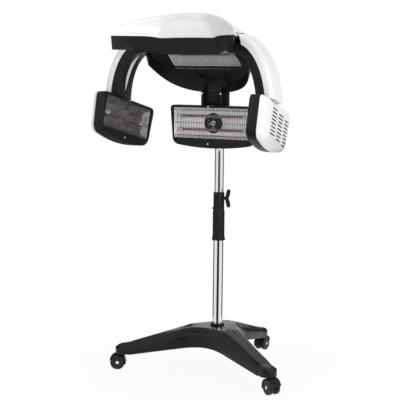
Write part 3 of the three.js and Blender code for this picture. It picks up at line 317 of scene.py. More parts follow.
def piece(name, form, material, stands_for=None, sharp=38, cuts=None, edge=0, steepest=35, body=None):
    """A finished piece with its cuts made and its steep edges rounded, on the body of what it stands for."""
    obj = placed(mesh_of(form, name), name)
    if cuts:
        carve(obj, cuts)
    if edge:
        round_edges(obj.data, edge, steepest)
    return finish_piece(obj, body or BODY_OF[stands_for], material, stands_for, sharp)


def dress(node, edge=1.0, steepest=40):
    """A copy of a CAD node with softened edges, which stands for it."""
    mesh = NODES[node].data.copy()
    work = bmesh.new()
    work.from_mesh(mesh)
    bmesh.ops.remove_doubles(work, verts=work.verts, dist=CAD_WELD)
    bmesh.ops.dissolve_limit(work, angle_limit=math.radians(FLAT_ANGLE), verts=work.verts, edges=work.edges)
    work.to_mesh(mesh)
    work.free()
    round_edges(mesh, edge, steepest)
    return finish_piece(placed(mesh, node + "_finish"), BODY_OF[node], BY_SLOT[SLOT_OF[node]], node)


def turned_to(axis, at):
    """A matrix that takes z to an axis, at a point."""
    turn = Vector((0, 0, 1)).rotation_difference(Vector(axis)).to_matrix().to_4x4()
    return Matrix.Translation(at) @ turn


def tube_profile(outer, inner, low, high):
    return [(inner, low), (outer, low), (outer, high), (inner, high)]


def pin_profile(radius, half, bevel, run):
    """A pin's side, with a bevel that takes off some radius over a run at each end."""
    return [(radius - bevel, -half), (radius, run - half), (radius, half - run), (radius - bevel, half)]


def arc(cx, cz, rx, rz, start, end, steps):
    points = []
    for i in range(steps + 1):
        c, s = cos_sin(start + (end - start) * i / steps)
        points.append((cx + rx * c, cz + rz * s))
    return points


def rounded_rectangle(width, height, radius, rise=0.0, steps=6):
    x, z = width / 2 - radius, height / 2 - radius
    points = []
    for cx, cz, start in ((x, -z, -90), (x, z, 0), (-x, z, 90), (-x, -z, 180)):
        points += arc(cx, cz + rise, radius, radius, start, start + 90, steps)
    return points


def curve3(a, b, c, steps):
    """Points of a quadratic curve, without its start."""
    points = []
    for i in range(1, steps + 1):
        t = i / steps
        points.append(tuple(a[k] * (1 - t) ** 2 + 2 * b[k] * t * (1 - t) + c[k] * t * t for k in (0, 1)))
    return points


def stepped(a, b, steps):
    """Points of a straight line, without its end."""
    return [tuple(a[k] + (b[k] - a[k]) * i / steps for k in (0, 1)) for i in range(steps)]


def smoothstep(value):
    value = min(max(value, 0), 1)
    return value * value * (3 - 2 * value)


# Camera, light and floor

SENSOR_WIDTH, PHOTO_WIDTH = 36, 400
CARD_DRIFT = 0.3
WORLD_LIGHT, WORLD_SHOWN = 0.45, 1.0
FLOOR_RADIUS, FLOOR_DROP, FLOOR_POINTS = 9000, 0.4, 48
FADE_REACH, FADE_SHARE = (0.45, 1.3), (0.93, 1.0)


def look(yaw, height, distance, focal, aim, roll):
    """A camera round the pole, with its focal length in pixels and its aim right and up of the pole."""
    camera = bpy.data.cameras.new("camera")
    camera.sensor_fit = "HORIZONTAL"
    camera.sensor_width = SENSOR_WIDTH
    camera.lens = SENSOR_WIDTH * focal / PHOTO_WIDTH
    obj = placed(camera, "camera")
    c, s = cos_sin(yaw)
    right, ahead = Vector((c, s, 0)), Vector((-s, c, 0))
    forward = (ahead + right * aim[0] + Vector((0, 0, aim[1]))).normalized()
    across = forward.cross(Vector((0, 0, 1))).normalized()
    up = across.cross(forward)
    turn = Matrix.Rotation(math.radians(roll), 3, forward)
    axes = Matrix((turn @ across, turn @ up, -forward)).transposed()
    eye = Vector((distance * s, POLE_Y * MILLIMETRE - distance * c, height))
    obj.matrix_world = Matrix.Translation(eye) @ axes.to_4x4()
    bpy.context.scene.camera = obj


look(yaw=29.25, height=1.183, distance=4.393, focal=1119.6, aim=(-0.017, -0.1136), roll=-0.63)


def area_lamp(name, at, target, size, power):
    lamp = bpy.data.lights.new(name, "AREA")
    lamp.shape = "RECTANGLE"
    lamp.size, lamp.size_y = size
    lamp.energy = power
    obj = placed(lamp, name)
    aim = Vector(target) - Vector(at)
    obj.matrix_world = Matrix.Translation(at) @ aim.to_track_quat("-Z", "Y").to_matrix().to_4x4()


area_lamp("key", at=(-1.6, -3.2, 3.0), target=(0, 0, 0.8), size=(1.8, 1.8), power=20)
area_lamp("fill", at=(3.2, -1.6, 1.9), target=(0, 0, 0.9), size=(1.6, 2.2), power=50)
area_lamp("front", at=(2.3, -3.9, 0.75), target=(0, 0, 1.05), size=(1.2, 1.2), power=36)
area_lamp("top", at=(0, 0.4, 3.6), target=(0, 0, 0.6), size=(2.4, 2.4), power=15)


def dark_card(name, azimuth, distance, width, low, high, tone):
    """A dark studio card that only polished surfaces see, so that chrome shows its stripe."""
    material, tree, principled = shader(name, (tone, tone, tone), 0.9)
    darker, paler = (tone * (1 - CARD_DRIFT),) * 3, (tone * (1 + CARD_DRIFT),) * 3
    tree.links.new(ramp(tree, noise(tree, 2.0), darker, paler), principled.inputs["Base Color"])
    c, s = cos_sin(azimuth)
    middle = Vector((distance * s, -distance * c, 0))
    across = Vector((c, s, 0)) * width / 2
    form = Form()
    corners = [middle - across, middle + across]
    form.add([p + Vector((0, 0, z)) for z in (low, high) for p in corners], [[0, 1, 3, 2]])
    card = placed(mesh_of(form, name), name)
    card.data.materials.append(material)
    card.visible_camera = False
    card.visible_diffuse = False
    card.visible_shadow = False
    card.visible_transmission = False


dark_card("chrome_card", azimuth=27, distance=760, width=720, low=2, high=840, tone=0.008)
for card_name, card_azimuth in (("chrome_card_left", -100), ("chrome_card_right", 158)):
    dark_card(card_name, card_azimuth, distance=900, width=1100, low=2, high=840, tone=0.12)


def seen_directly(tree):
    """1 for rays from the camera, off gloss or through glass, and 0 for the light on the object."""
    path = add_node(tree, "LightPath", {})
    seen = add_node(tree, "Math", {0: path["Is Camera Ray"], 1: path["Is Glossy Ray"]}, "MAXIMUM")[0]
    return add_node(tree, "Math", {0: seen, 1: path["Is Transmission Ray"]}, "MAXIMUM")[0]


def mix_shaders(tree, share, first, second, output):
    mixed = add_node(tree, "MixShader", {"Fac": share, 1: first, 2: second})[0]
    tree.links.new(mixed, tree.nodes[output].inputs["Surface"])


def make_world():
    world = bpy.data.worlds.new("studio")
    bpy.context.scene.world = world
    world.use_nodes = True
    tree = world.node_tree
    light = tree.nodes["Background"]
    light.inputs["Color"].default_value = (1, 1, 1, 1)
    light.inputs["Strength"].default_value = WORLD_LIGHT
    shown = add_node(tree, "Background", {"Color": (1, 1, 1, 1), "Strength": WORLD_SHOWN})[0]
    mix_shaders(tree, seen_directly(tree), light.outputs[0], shown, "World Output")


make_world()
bpy.context.scene.view_settings.view_transform = "Standard"


def make_floor():
    """A pale floor that fades to plain white away from the object and keeps its shadow."""
    material, tree, principled = shader("pale_floor", (0.9, 0.9, 0.9), 0.7)
    tint = ramp(tree, noise(tree, 3.0), (0.88, 0.88, 0.88), (0.93, 0.93, 0.93))
    tree.links.new(tint, principled.inputs["Base Color"])
    place = add_node(tree, "TexCoord", {})["Object"]
    reach = add_node(tree, "VectorMath", {0: place}, "LENGTH")["Value"]
    fade = map_range(tree, reach, FADE_REACH, FADE_SHARE)
    share = add_node(tree, "Math", {0: seen_directly(tree), 1: fade}, "MULTIPLY")[0]
    glow = add_node(tree, "Emission", {})[0]
    mix_shaders(tree, share, principled.outputs[0], glow, "Material Output")
    rim = turned([(FLOOR_RADIUS, -FLOOR_DROP)], FLOOR_POINTS)[0]
    floor = placed(mesh_of(Form().add(rim, [list(range(FLOOR_POINTS))]), "floor"), "floor")
    floor.data.materials.append(material)


make_floor()


# Base: each leg runs out from the pole, and profiles are (inset, drop) pairs from its outline and top

LEGS = {"rear": 90, "left": 210, "right": 330}
LEG_ROOT, ROOT_HALF = 165, 54
LEG_END, END_HALF, END_GAP = 352, 30.8, 0.2
PAST_END = 30
WAIST = 66
HUB_RADIUS = 24.3
DOME_RADIUS, DOME_TOP, DOME_FALL, LEG_FALL = 110, 183, 3, 0.308
BOTTOM_AT_POLE, BOTTOM_FALL = 125, 0.173
SHOULDER = ((28, 0), (26.6, 0.3), (25, 1.3), (14, 9.8), (2.6, 18.2), (1, 19.8), (0, 22))
SHOULDER_WIDTH, SHOULDER_DROP = SHOULDER[0][0], SHOULDER[-1][1]
NARROWED, NARROWS_FROM, NARROWS_OVER = 0.45, 200, 140
WALL_FLARE, WALL_EDGE, WALL_INSIDE = 2, 1.6, 2
ROOF, SIDE_WALL = 5, 4
POLE_BORE = span("lower_tube", X)[1] + 0.3
SOCKET_RADIUS, SOCKET_LOW, SOCKET_TOP = 28.3, 113, 182


def leg_point(angle, along, across):
    c, s = cos_sin(angle)
    return along * c - across * s, along * s + across * c


def base_outline():
    points = []
    for angle in LEGS.values():
        start = leg_point(angle, LEG_ROOT, -ROOT_HALF)
        toe_start = leg_point(angle, LEG_END + PAST_END, -END_HALF)
        toe_end = leg_point(angle, LEG_END + PAST_END, END_HALF)
        end = leg_point(angle, LEG_ROOT, ROOT_HALF)
        waist = leg_point(angle + 60, WAIST, 0)
        following = leg_point(angle + 120, LEG_ROOT, -ROOT_HALF)
        points += stepped(start, toe_start, 10) + stepped(toe_start, toe_end, 4) + stepped(toe_end, end, 10)
        points += ([end] + curve3(end, waist, following, 24))[:-1]
    return points


def top_height(radius):
    if radius < DOME_RADIUS:
        return DOME_TOP - DOME_FALL * (radius / DOME_RADIUS) ** 2
    return DOME_TOP - DOME_FALL - LEG_FALL * (radius - DOME_RADIUS)


def bottom_height(radius):
    return BOTTOM_AT_POLE - BOTTOM_FALL * radius


def narrowing(radius):
    """The share of a shoulder that is left this far out along a leg."""
    return 1 - NARROWED * smoothstep((radius - NARROWS_FROM) / NARROWS_OVER)


def make_base():
    outline = base_outline()

    def ring(inset, height):
        points = []
        for i, (x, y) in enumerate(outline):
            before, after = outline[i - 1], outline[(i + 1) % len(outline)]
            along = Vector((after[0] - before[0], after[1] - before[1])).normalized()
            shift = inset * narrowing(math.hypot(x, y))
            x, y = x - along.y * shift, y + along.x * shift
            points.append((x, y, height(math.hypot(x, y))))
        return points

    def shoulder(inset, drop):
        return ring(inset, lambda radius: top_height(radius) - drop * narrowing(radius))

    def towards_hub(share, drop):
        points = []
        for x, y, _ in shoulder(SHOULDER_WIDTH, 0):
            reach = math.hypot(x, y)
            radius = HUB_RADIUS + (reach - HUB_RADIUS) * share
            points.append((x / reach * radius, y / reach * radius, top_height(radius) - drop))
        return points

    def wall(share):
        def height(radius):
            under_shoulder = top_height(radius) - SHOULDER_DROP * narrowing(radius)
            return under_shoulder * (1 - share) + bottom_height(radius) * share
        return ring(-WALL_FLARE * share, height)

    rings = [towards_hub(share, 0) for share in (0, 0.2, 0.4, 0.6, 0.8, 0.93)]
    rings += [shoulder(inset, drop) for inset, drop in SHOULDER]
    rings += [wall(share) for share in (0.3, 0.6, 0.95)]
    rings += [ring(-WALL_EDGE, bottom_height), ring(WALL_INSIDE, bottom_height)]
    rings += [shoulder(SIDE_WALL, SHOULDER_DROP + ROOF), shoulder(SHOULDER_WIDTH, ROOF)]
    rings += [towards_hub(share, ROOF) for share in (0.7, 0.35, 0)]
    ends = Form()
    for angle in LEGS.values():
        turn = Matrix.Rotation(math.radians(angle), 4, "Z")
        ends.block((2 * PAST_END, 200, 200), (LEG_END + PAST_END - END_GAP, 0, 100), turn)
    form = Form().loft(rings, True)
    form.lathe(tube_profile(SOCKET_RADIUS, POLE_BORE, SOCKET_LOW, SOCKET_TOP), 64)
    piece("base_body", form, BASE_BLACK, "base_shell", sharp=32, cuts=ends)


make_base()


# Toe caps and casters

CAP_HALF, CAP_OVERLAP, CAP_BEND, CAP_CENTRE = 33, 14, 363, 374
CAP_TOP, CAP_BOTTOM, CAP_FALL = 105.3, 63.5, 0.14
CAP_FOOT = ((3, 0), (0.8, 0.8), (0, 3))
CAP_SHOULDER = ((0, 13), (0.6, 10.8), (2, 9), (8, 4.4), (13.4, 0.9), (15, 0.2), (20, 0))
AXLE_AT, AXLE_HEIGHT = 398, joint_at("wheel_roll_rear")[Z]
WHEEL_APART, WHEEL_HALF = 14.6, 7.5
TREAD = ((4, 0), (17, 0), (19, 1.2), (24, 1.2), (26.5, 0.4), (28.4, 1.8), (29, 4))


def make_foot(side, angle):
    turn = Matrix.Rotation(math.radians(angle), 4, "Z")

    def ring(inset, height):
        half = CAP_HALF - inset
        start = LEG_END - CAP_OVERLAP
        plan = [(start, -half), (CAP_BEND, -half)] + arc(CAP_CENTRE, 0, half, half, -90, 90, 18)
        plan += [(CAP_BEND, half), (start, half)]
        fall = CAP_FALL * (height - CAP_BOTTOM) / (CAP_TOP - CAP_BOTTOM)
        return [(x, y, height - fall * (x - LEG_END)) for x, y in plan]

    rings = [ring(inset, CAP_BOTTOM + lift) for inset, lift in CAP_FOOT]
    rings += [ring(inset, CAP_TOP - drop) for inset, drop in CAP_SHOULDER]
    form = Form().loft(rings, False, turn)
    piece("toe_cap_%s_form" % side, form, BASE_BLACK, "toe_cap_" + side, sharp=40)

    middle = turn @ Vector((AXLE_AT, 0, AXLE_HEIGHT))
    axle = Matrix.Translation(middle) @ turn @ Matrix.Rotation(math.pi / 2, 4, "X")
    wheels = Form()
    for offset in (-WHEEL_APART, WHEEL_APART):
        low, high = offset - WHEEL_HALF, offset + WHEEL_HALF
        tread = [(radius, low + depth) for radius, depth in TREAD]
        tread += [(radius, high - depth) for radius, depth in reversed(TREAD)]
        wheels.lathe(tread, 48, axle)
    piece("caster_wheels_" + side, wheels, WHEEL, "caster_wheel_" + side, sharp=30)
    caps = Form().spindle(pin_profile(4, 24.2, 0.6, 0.8), 24, axle)
    for end in (-1, 1):
        caps.spindle([(6.2, end * 22.1), (6.2, end * 23.2), (4.6, end * 24.6)], 28, axle)
    piece("axle_caps_" + side, caps, ZINC, body="wheel_" + side)
    dress("caster_fork_" + side, edge=0.6)


for side_name, side_angle in LEGS.items():
    make_foot(side_name, side_angle)


# Column

LOWER_WALL, UPPER_WALL = 1.4, 1.6
COLUMN_BORE = 18.5
GRIP_RADIUS, GRIP_FOOT = 23.6, ((24.7, 0), (26, 1.2), (26.2, 3), (26, 9), (25.2, 11.5), (23.9, 13.5))
GRIP_TOP = ((0, 4.7), (0.6, 1.7), (2, 0))
GROOVES, GROOVE_START, GROOVE_PITCH, GROOVE_DEPTH = 6, 30, 13, 0.6
RIVET_HEIGHT, RIVET_AXIS = 652, (-0.9, -0.43, 0)


def make_poles():
    for end, wall in (("lower", LOWER_WALL), ("upper", UPPER_WALL)):
        node = end + "_tube"
        radius = span(node, X)[1]
        form = Form().lathe(tube_profile(radius, radius - wall, *span(node, Z)), 72)
        piece(end + "_pole", form, CHROME, node, sharp=30)
    wide = span("pole_foot_ring", X)[1]
    low, high = span("pole_foot_ring", Z)
    collar = [(POLE_BORE, low), (wide, low), (wide, high - 3.3), (wide - 0.6, high - 1.3), (wide - 2, high),
              (POLE_BORE, high)]
    piece("pole_collar", Form().lathe(collar, 64), BLACK, "pole_foot_ring", sharp=30)


def make_grip():
    low, high = span("grip_sleeve", Z)
    grip = [(POLE_BORE, low)] + [(radius, low + lift) for radius, lift in GRIP_FOOT]
    for groove in range(GROOVES):
        height = low + GROOVE_START + groove * GROOVE_PITCH
        deep = GRIP_RADIUS - GROOVE_DEPTH
        grip += [(GRIP_RADIUS, height - 1.6), (deep, height - 0.8)]
        grip += [(deep, height + 0.8), (GRIP_RADIUS, height + 1.6)]
    grip += [(GRIP_RADIUS - inset, high - drop) for inset, drop in GRIP_TOP] + [(POLE_BORE, high)]
    piece("grip", Form().lathe(grip, 64), BLACK, "grip_sleeve", sharp=30)


def make_clamp():
    low, high = span("clamp_sleeve", Z)
    wide = span("clamp_sleeve", Y)[1]
    form = Form().lathe([(COLUMN_BORE, low), (wide - 0.6, low), (wide, low + 0.9), (wide, high - 6),
                         (wide - 1, high - 2), (wide - 2.4, high), (COLUMN_BORE, high)], 64)
    boss = turned_to((1, 0, 0), (0, 0, joint_at("clamp_knob_turn")[Z]))
    form.lathe([(4, 20.4), (7, 20.4), (7, 27.4), (6, 29), (4, 29)], 32, boss)
    rivet = turned_to(RIVET_AXIS, (0, 0, RIVET_HEIGHT))
    form.spindle([(4.6, 20.6), (4.6, 24.4), (3.6, 25.4)], 24, rivet)
    piece("clamp", form, BLACK, "clamp_sleeve", sharp=30)
    dress("clamp_knob", edge=1.2, steepest=35)


def make_tilt():
    dress("tilt_bracket", edge=1.4)
    pin = turned_to((1, 0, 0), joint_at("head_tilt"))
    shape = pin_profile(5, span("tilt_pin", X)[1], 1.4, 1.2)
    piece("tilt_pivot", Form().spindle(shape, 40, pin), STEEL, "tilt_pin", sharp=30)


make_poles()
make_grip()
make_clamp()
make_tilt()


# Heater panels, drawn with x along the panel, z up and y into the panel from its open face.
# A window is its width, height, corner radius and rise above the panel's middle.

REAR = {"width": 368, "height": 166, "top": 14, "bottom": 34, "bow": 12, "taper": 9, "depth": 40,
        "window": (336, 119, 8, 14.5), "cover": 9, "shrink": 0.97, "tube": 276, "tube_depth": 15}
SIDE = {"width": 300, "height": 172, "top": 20, "bottom": 42, "bow": 14, "taper": 6, "depth": 40,
        "window": (262, 121, 8, 15), "cover": 34, "shrink": 0.62, "tube": 198, "tube_depth": 20.3}
REAR_FACE, REAR_TOP = span("rear_housing", Y)[0], span("rear_housing", Z)[1]
REAR_PLACE = Matrix.Translation((0, REAR_FACE, REAR_TOP - REAR["height"] / 2))
SIDE_AT, SIDE_LEAN, SIDE_TURN = (288, -220, 994), 15, 82
BOW_SHARE = 0.8
LIP, LEDGE = 4, 4
BEZEL = ((7, 0), (4.2, 0.5), (2, 1.8), (0.6, 4), (0, 7))
COVER_GAP, COVER_WALL, COVER_STEPS = 0.3, 3, 12
GUARD_DEPTH, GUARD_GROW = 5.1, 3.7
GUARD_THICK, GUARD_GAP, GUARD_EDGE = 1.4, 0.3, 4.5
RAIL_SHARES, RAIL_RADIUS, RAIL_STEP = (-0.82, 0, 0.82), 0.8, 1.3
TUBE_RADIUS, TUBE_BORE = 6.5, 5.4
COIL_RADIUS, COIL_LEAD, COIL_WIRE, COIL_STEPS = 3.7, 3.6, 1.5, 12
SCREW_SINK = 0.4


def side_place(side):
    lean = Matrix.Rotation(math.radians(-SIDE_LEAN), 4, "X")
    turn = Matrix.Rotation(math.radians(-side * SIDE_TURN), 4, "Z")
    return Matrix.Translation((side * SIDE_AT[X], *SIDE_AT[Y:])) @ lean @ turn


def panel_outline(panel, inset=0.0, steps=8):
    x, z = panel["width"] / 2 - inset, panel["height"] / 2 - inset
    top, bottom, bow = panel["top"], panel["bottom"], panel["bow"]
    low = x - panel["taper"]
    points = [(-x + top, z), (x - top, z)]
    points += curve3((x - top, z), (x, z), (x, z - top), steps)
    corner = (low, -z + bow + bottom)
    points.append(corner)
    foot = (low - bottom, -z + bow * BOW_SHARE)
    points += curve3(corner, (low, -z + bow), foot, steps)
    points += curve3(foot, (0, -z - bow * BOW_SHARE), (-foot[0], foot[1]), 2 * steps)
    points += curve3((-foot[0], foot[1]), (-low, -z + bow), (-low, corner[1]), steps)
    points.append((-x, z - top))
    return points + curve3((-x, z - top), (-x, z), (-x + top, z), steps)[:-1]


def make_housing(name, panel, place, node):
    depth = panel["depth"]
    rings = []
    for inset, y in (*BEZEL, (0, depth - 2), (0.6, depth)):
        rings.append([(x, y, z) for x, z in panel_outline(panel, inset)])
    width, height, radius, rise = panel["window"]
    cuts = Form().slab(rounded_rectangle(width, height, radius, rise), -5, LIP + 1, place)
    room = rounded_rectangle(width + 2 * LEDGE, height + 2 * LEDGE, radius, rise)
    cuts.slab(room, LIP, depth + 5, place)
    form = Form().loft(rings, False, place)
    piece(name, form, BLACK, node, sharp=32, cuts=cuts, edge=0.8, steepest=60)


def make_cover(name, panel, place, node, vents):
    """A domed cover behind a housing, with slots at (x, z, length, height)."""
    start = panel["depth"] + COVER_GAP

    def rings(inset, depth, first):
        made = [[(x, first, z) for x, z in panel_outline(panel, inset)]]
        for step in range(1, COVER_STEPS + 1):
            c, s = cos_sin(90 * step / COVER_STEPS)
            scale = 1 - (1 - panel["shrink"]) * (1 - c)
            y = start + depth * s
            made.append([(x * scale, y, z * scale) for x, z in panel_outline(panel, inset)])
        return made

    cuts = Form().loft(rings(COVER_WALL, panel["cover"] - COVER_WALL, start - 2), False, place)
    for x, z, length, height in vents:
        slot = rounded_rectangle(length, height, height / 2 - 0.05, steps=5)
        cuts.slab([(x + px, z + pz) for px, pz in slot], start + 2, start + panel["cover"] * 2, place)
    form = Form().loft(rings(0, panel["cover"], start), False, place)
    piece(name, form, WHITE, node, sharp=34, cuts=cuts)


def make_guard(name, panel, place, node, y=GUARD_DEPTH, grow=GUARD_GROW, pitch=7.2, wire_radius=0.78):
    """A flat frame round a window with upright wires and three cross rails."""
    width, height, radius, rise = panel["window"]
    wide, tall = width + 2 * grow, height + 2 * grow
    outer = rounded_rectangle(wide - 2 * GUARD_GAP, tall - 2 * GUARD_GAP, radius, rise)
    inner = rounded_rectangle(wide - 2 * GUARD_EDGE, tall - 2 * GUARD_EDGE, max(radius - 4, 2), rise)
    front, back = y - GUARD_THICK / 2, y + GUARD_THICK / 2
    rings = []
    for outline, depth in ((outer, front), (outer, back), (inner, back), (inner, front)):
        rings.append([(x, depth, z) for x, z in outline])
    form = Form().loft(rings, True, place)
    reach, half = wide / 2 - 5, tall / 2 - 3
    count = round(2 * reach / pitch)
    for wire in range(1, count):
        x = -reach + wire / count * 2 * reach
        form.sweep([(x, y, rise - half), (x, y, rise + half)], wire_radius, 6, place)
    for share in RAIL_SHARES:
        z = rise + half * share
        form.sweep([(-reach - 1, y + RAIL_STEP, z), (reach + 1, y + RAIL_STEP, z)], RAIL_RADIUS, 6, place)
    piece(name, form, GUARD_WIRE, node, sharp=40)


def make_case(label, panel, place, vents):
    make_housing(label % "bezel", panel, place, label % "housing")
    make_cover(label % "back", panel, place, label % "cover", vents)
    make_guard(label % "wires", panel, place, label % "guard")


def make_tube(name, panel, z, place, node, coil_node, turns):
    """A quartz tube along x with a heating coil in it."""
    half, y = panel["tube"] / 2, panel["tube_depth"]
    wall = tube_profile(TUBE_RADIUS, TUBE_BORE, -half, half)
    seat = place @ turned_to((1, 0, 0), (0, y, z))
    piece(name, Form().lathe(wall, 32, seat), QUARTZ, node, sharp=30)
    steps = turns * COIL_STEPS
    reach = half - 5
    path = [(-half + 2, y, z + COIL_LEAD)]
    for step in range(steps + 1):
        c, s = cos_sin(360 * step / COIL_STEPS)
        path.append((-reach + 2 * reach * step / steps, y + COIL_RADIUS * s, z + COIL_RADIUS * c))
    path.append((half - 2, y, z + COIL_LEAD))
    coil = Form().sweep(path, COIL_WIRE, 6, place)
    piece(name + "_coil", coil, WIRE, coil_node, sharp=60, body=BODY_OF[node])


def make_screw(form, place, at, radius):
    """A domed screw head that faces out of a panel."""
    seat = place @ turned_to((0, -1, 0), at)
    form.spindle([(radius, -1), (radius, 0.7), (radius * 0.75, 1.3), (radius * 0.3, 1.5)], 20, seat)


# Rear panel and fan

REAR_RISE = REAR["window"][3]
TUBES_APART = 26
TRAY, TRAY_DEPTH = 6.5, 18
BEZEL_SCREWS = ((-12, 79), (-12, -66))
TRAY_SCREW = 41
STRAP_AT, STRAP_SIZE = 146, (11, 1.4, 72)
CERAMIC_AT = 136
CERAMIC_END = ((6.6, 0), (7.6, 1), (7.6, 11), (6.2, 12.4), (6.2, 18), (5.2, 19))
FAN_RADIUS, FAN_CASE, FAN_DEPTH = 37, 80, 15.4
FAN_BARS, BAR_PITCH, BAR_WIDTH = 4, 7.3, 2.4


def make_rear_panel():
    slots = [(0, (row - 2) * 11, 70, 5) for row in range(5)]
    make_case("rear_%s", REAR, REAR_PLACE, slots)
    for name, z in (("upper", REAR_RISE + TUBES_APART), ("lower", REAR_RISE - TUBES_APART)):
        tube, coil = "rear_tube_" + name, "rear_coil_" + name
        make_tube("rear_lamp_" + name, REAR, z, REAR_PLACE, tube, coil, turns=40)
    screws = Form()
    for x, z in BEZEL_SCREWS:
        make_screw(screws, REAR_PLACE, (x, SCREW_SINK, z), radius=3.2)
    for x in (-TRAY_SCREW, TRAY_SCREW):
        for z in (REAR_RISE - TRAY_SCREW, REAR_RISE + TRAY_SCREW):
            make_screw(screws, REAR_PLACE, (x, TRAY + TRAY_DEPTH - 1.6, z), radius=3.0)
    piece("rear_screws", screws, ZINC, body="head")
    dress("rear_reflector")
    for name, side in SIDES.items():
        node = "rear_block_" + name
        strap = Form().block(STRAP_SIZE, (side * STRAP_AT, TRAY + TRAY_DEPTH - 2, REAR_RISE), REAR_PLACE)
        piece("rear_strap_" + name, strap, REFLECTOR, node, sharp=34)
        ends = Form()
        for z in (REAR_RISE - TUBES_APART, REAR_RISE + TUBES_APART):
            at = (side * CERAMIC_AT, REAR["tube_depth"], z)
            ends.spindle(CERAMIC_END, 28, REAR_PLACE @ turned_to((side, 0, 0), at))
        piece("rear_ceramic_" + name, ends, CERAMIC, node, sharp=30)


def make_fan():
    case_front = TRAY + TRAY_DEPTH + 0.3
    face = TRAY + TRAY_DEPTH - 2.7
    hub = REAR_PLACE @ turned_to((0, 1, 0), (0, face, REAR_RISE))
    guard = Form().lathe([(36.4, 0.2), (37, 0), (39, 0), (39.6, 0.2), (39.6, 1.4), (36.4, 1.4)], 72, hub)
    guard.lathe(tube_profile(36.6, 28, 1.1, 1.4), 56, hub)
    for bar in range(-FAN_BARS, FAN_BARS + 1):
        offset = bar * BAR_PITCH
        reach = math.sqrt(FAN_RADIUS ** 2 - offset ** 2)
        guard.block((BAR_WIDTH, 1.1, 2 * reach), (offset, face + 0.8, REAR_RISE), REAR_PLACE)
        guard.block((2 * reach, 0.9, BAR_WIDTH), (0, face + 0.8, REAR_RISE + offset), REAR_PLACE)
    piece("fan_guard", guard, BLACK, "fan_grille", sharp=40)
    plate = rounded_rectangle(FAN_CASE, FAN_CASE, 8, REAR_RISE)
    case = Form().slab(plate, case_front, case_front + FAN_DEPTH, REAR_PLACE)
    bore = Form().spindle([(FAN_RADIUS, 2), (FAN_RADIUS, 30)], 64, hub)
    piece("fan_case", case, BLACK, "fan_grille", sharp=34, cuts=bore, edge=0.8, steepest=50)
    nose = Form().lathe([(4, -0.2), (8.6, -0.2), (9.4, 0.3), (9.4, 1.2), (4, 1.2)], 48, hub)
    piece("fan_nose_ring", nose, ZINC, sharp=34, body="head")
    dress("fan_rotor", edge=0.5)


make_rear_panel()
make_fan()


# Canopy: its outline runs along the front from the left wing tip to the right one, then round the back

RIM, RIM_BEND, REAR_SLOPE = 1317, 40, math.tan(math.radians(33))
TIP, CREASE = (260, -373), (115, -260)
REAR_Y, APEX, APEX_Y = -27, 1402, -212
WING_STEPS, FRONT_STEPS, BACK_STEPS = 10, 12, 84
TIP_AT = (0, 2 * WING_STEPS + FRONT_STEPS)
BACK_POWER = 2 / 2.6
DENT, DENT_OVER, DENT_ENDS, DENT_FADES = 38, 80, -235, 60
MITRE_LIMIT = 0.43
TIP_INSET, TIP_REACH = 0.1, 100
BOWL_MIDDLE = -100
CEILING_RISE, CEILING_FALL, CEILING_BEND, CEILING_WALL = 18, 0.25, -210, 5
SKIRT, SKIRT_MORE, SKIRT_FROM, SKIRT_OVER = 52, 18, -230, 150
SKIRT_SLANT = 18
CORNER_DROP = 8


def rim_height(y):
    past = y - CREASE[1]
    if past < -RIM_BEND:
        return RIM
    if past > RIM_BEND:
        return RIM - REAR_SLOPE * past
    return RIM - REAR_SLOPE * (past + RIM_BEND) ** 2 / (4 * RIM_BEND)


def canopy_outline(inset):
    """The outline moved inwards, least at the wing tips, as (x, y, y before the move)."""
    points = stepped((-TIP[0], TIP[1]), (-CREASE[0], CREASE[1]), WING_STEPS)
    points += stepped((-CREASE[0], CREASE[1]), CREASE, FRONT_STEPS)
    points += stepped(CREASE, TIP, WING_STEPS)
    for i in range(BACK_STEPS):
        c, s = cos_sin(180 * i / BACK_STEPS)
        y = TIP[1] + (REAR_Y - TIP[1]) * abs(s) ** BACK_POWER
        dent = DENT * smoothstep((y - TIP[1]) / DENT_OVER) * (1 - smoothstep((y - DENT_ENDS) / DENT_FADES))
        points.append((math.copysign(TIP[0] * abs(c) ** BACK_POWER - dent, c), y))
    moved = []
    for i, p in enumerate(points):
        before, after = points[i - 1], points[(i + 1) % len(points)]
        first = Vector((p[0] - before[0], p[1] - before[1])).normalized()
        second = Vector((after[0] - p[0], after[1] - p[1])).normalized()
        inward = Vector((-first.y - second.y, first.x + second.x)).normalized()
        stretch = max(MITRE_LIMIT, inward.x * -first.y + inward.y * first.x)
        from_tip = min(math.dist(p, points[tip]) for tip in TIP_AT)
        shift = inset / stretch * min(1, TIP_INSET + from_tip / TIP_REACH)
        moved.append((p[0] + inward.x * shift, p[1] + inward.y * shift, p[1]))
    return moved


def canopy_ring(inset, height_at, share=1.0):
    ring = []
    for x, y, _ in canopy_outline(inset):
        y = BOWL_MIDDLE + (y - BOWL_MIDDLE) * share
        ring.append((x * share, y, height_at(y)))
    return ring


def rim_ring(inset, lift):
    return [(x, y, rim_height(edge) + lift) for x, y, edge in canopy_outline(inset)]


def ceiling_height(y):
    return rim_height(y) + CEILING_RISE - CEILING_FALL * max(0, y - CEILING_BEND)


def ceiling_top(y):
    return ceiling_height(y) + CEILING_WALL


def skirt_height(y, share=1.0):
    depth = SKIRT + SKIRT_MORE * smoothstep((y - SKIRT_FROM) / SKIRT_OVER)
    return rim_height(y) - depth * share


def corner_height(y):
    return min(rim_height(y) - CORNER_DROP, ceiling_height(y) - CEILING_WALL)


# White hood, which turns from the canopy's outline into a smooth oval towards its crown

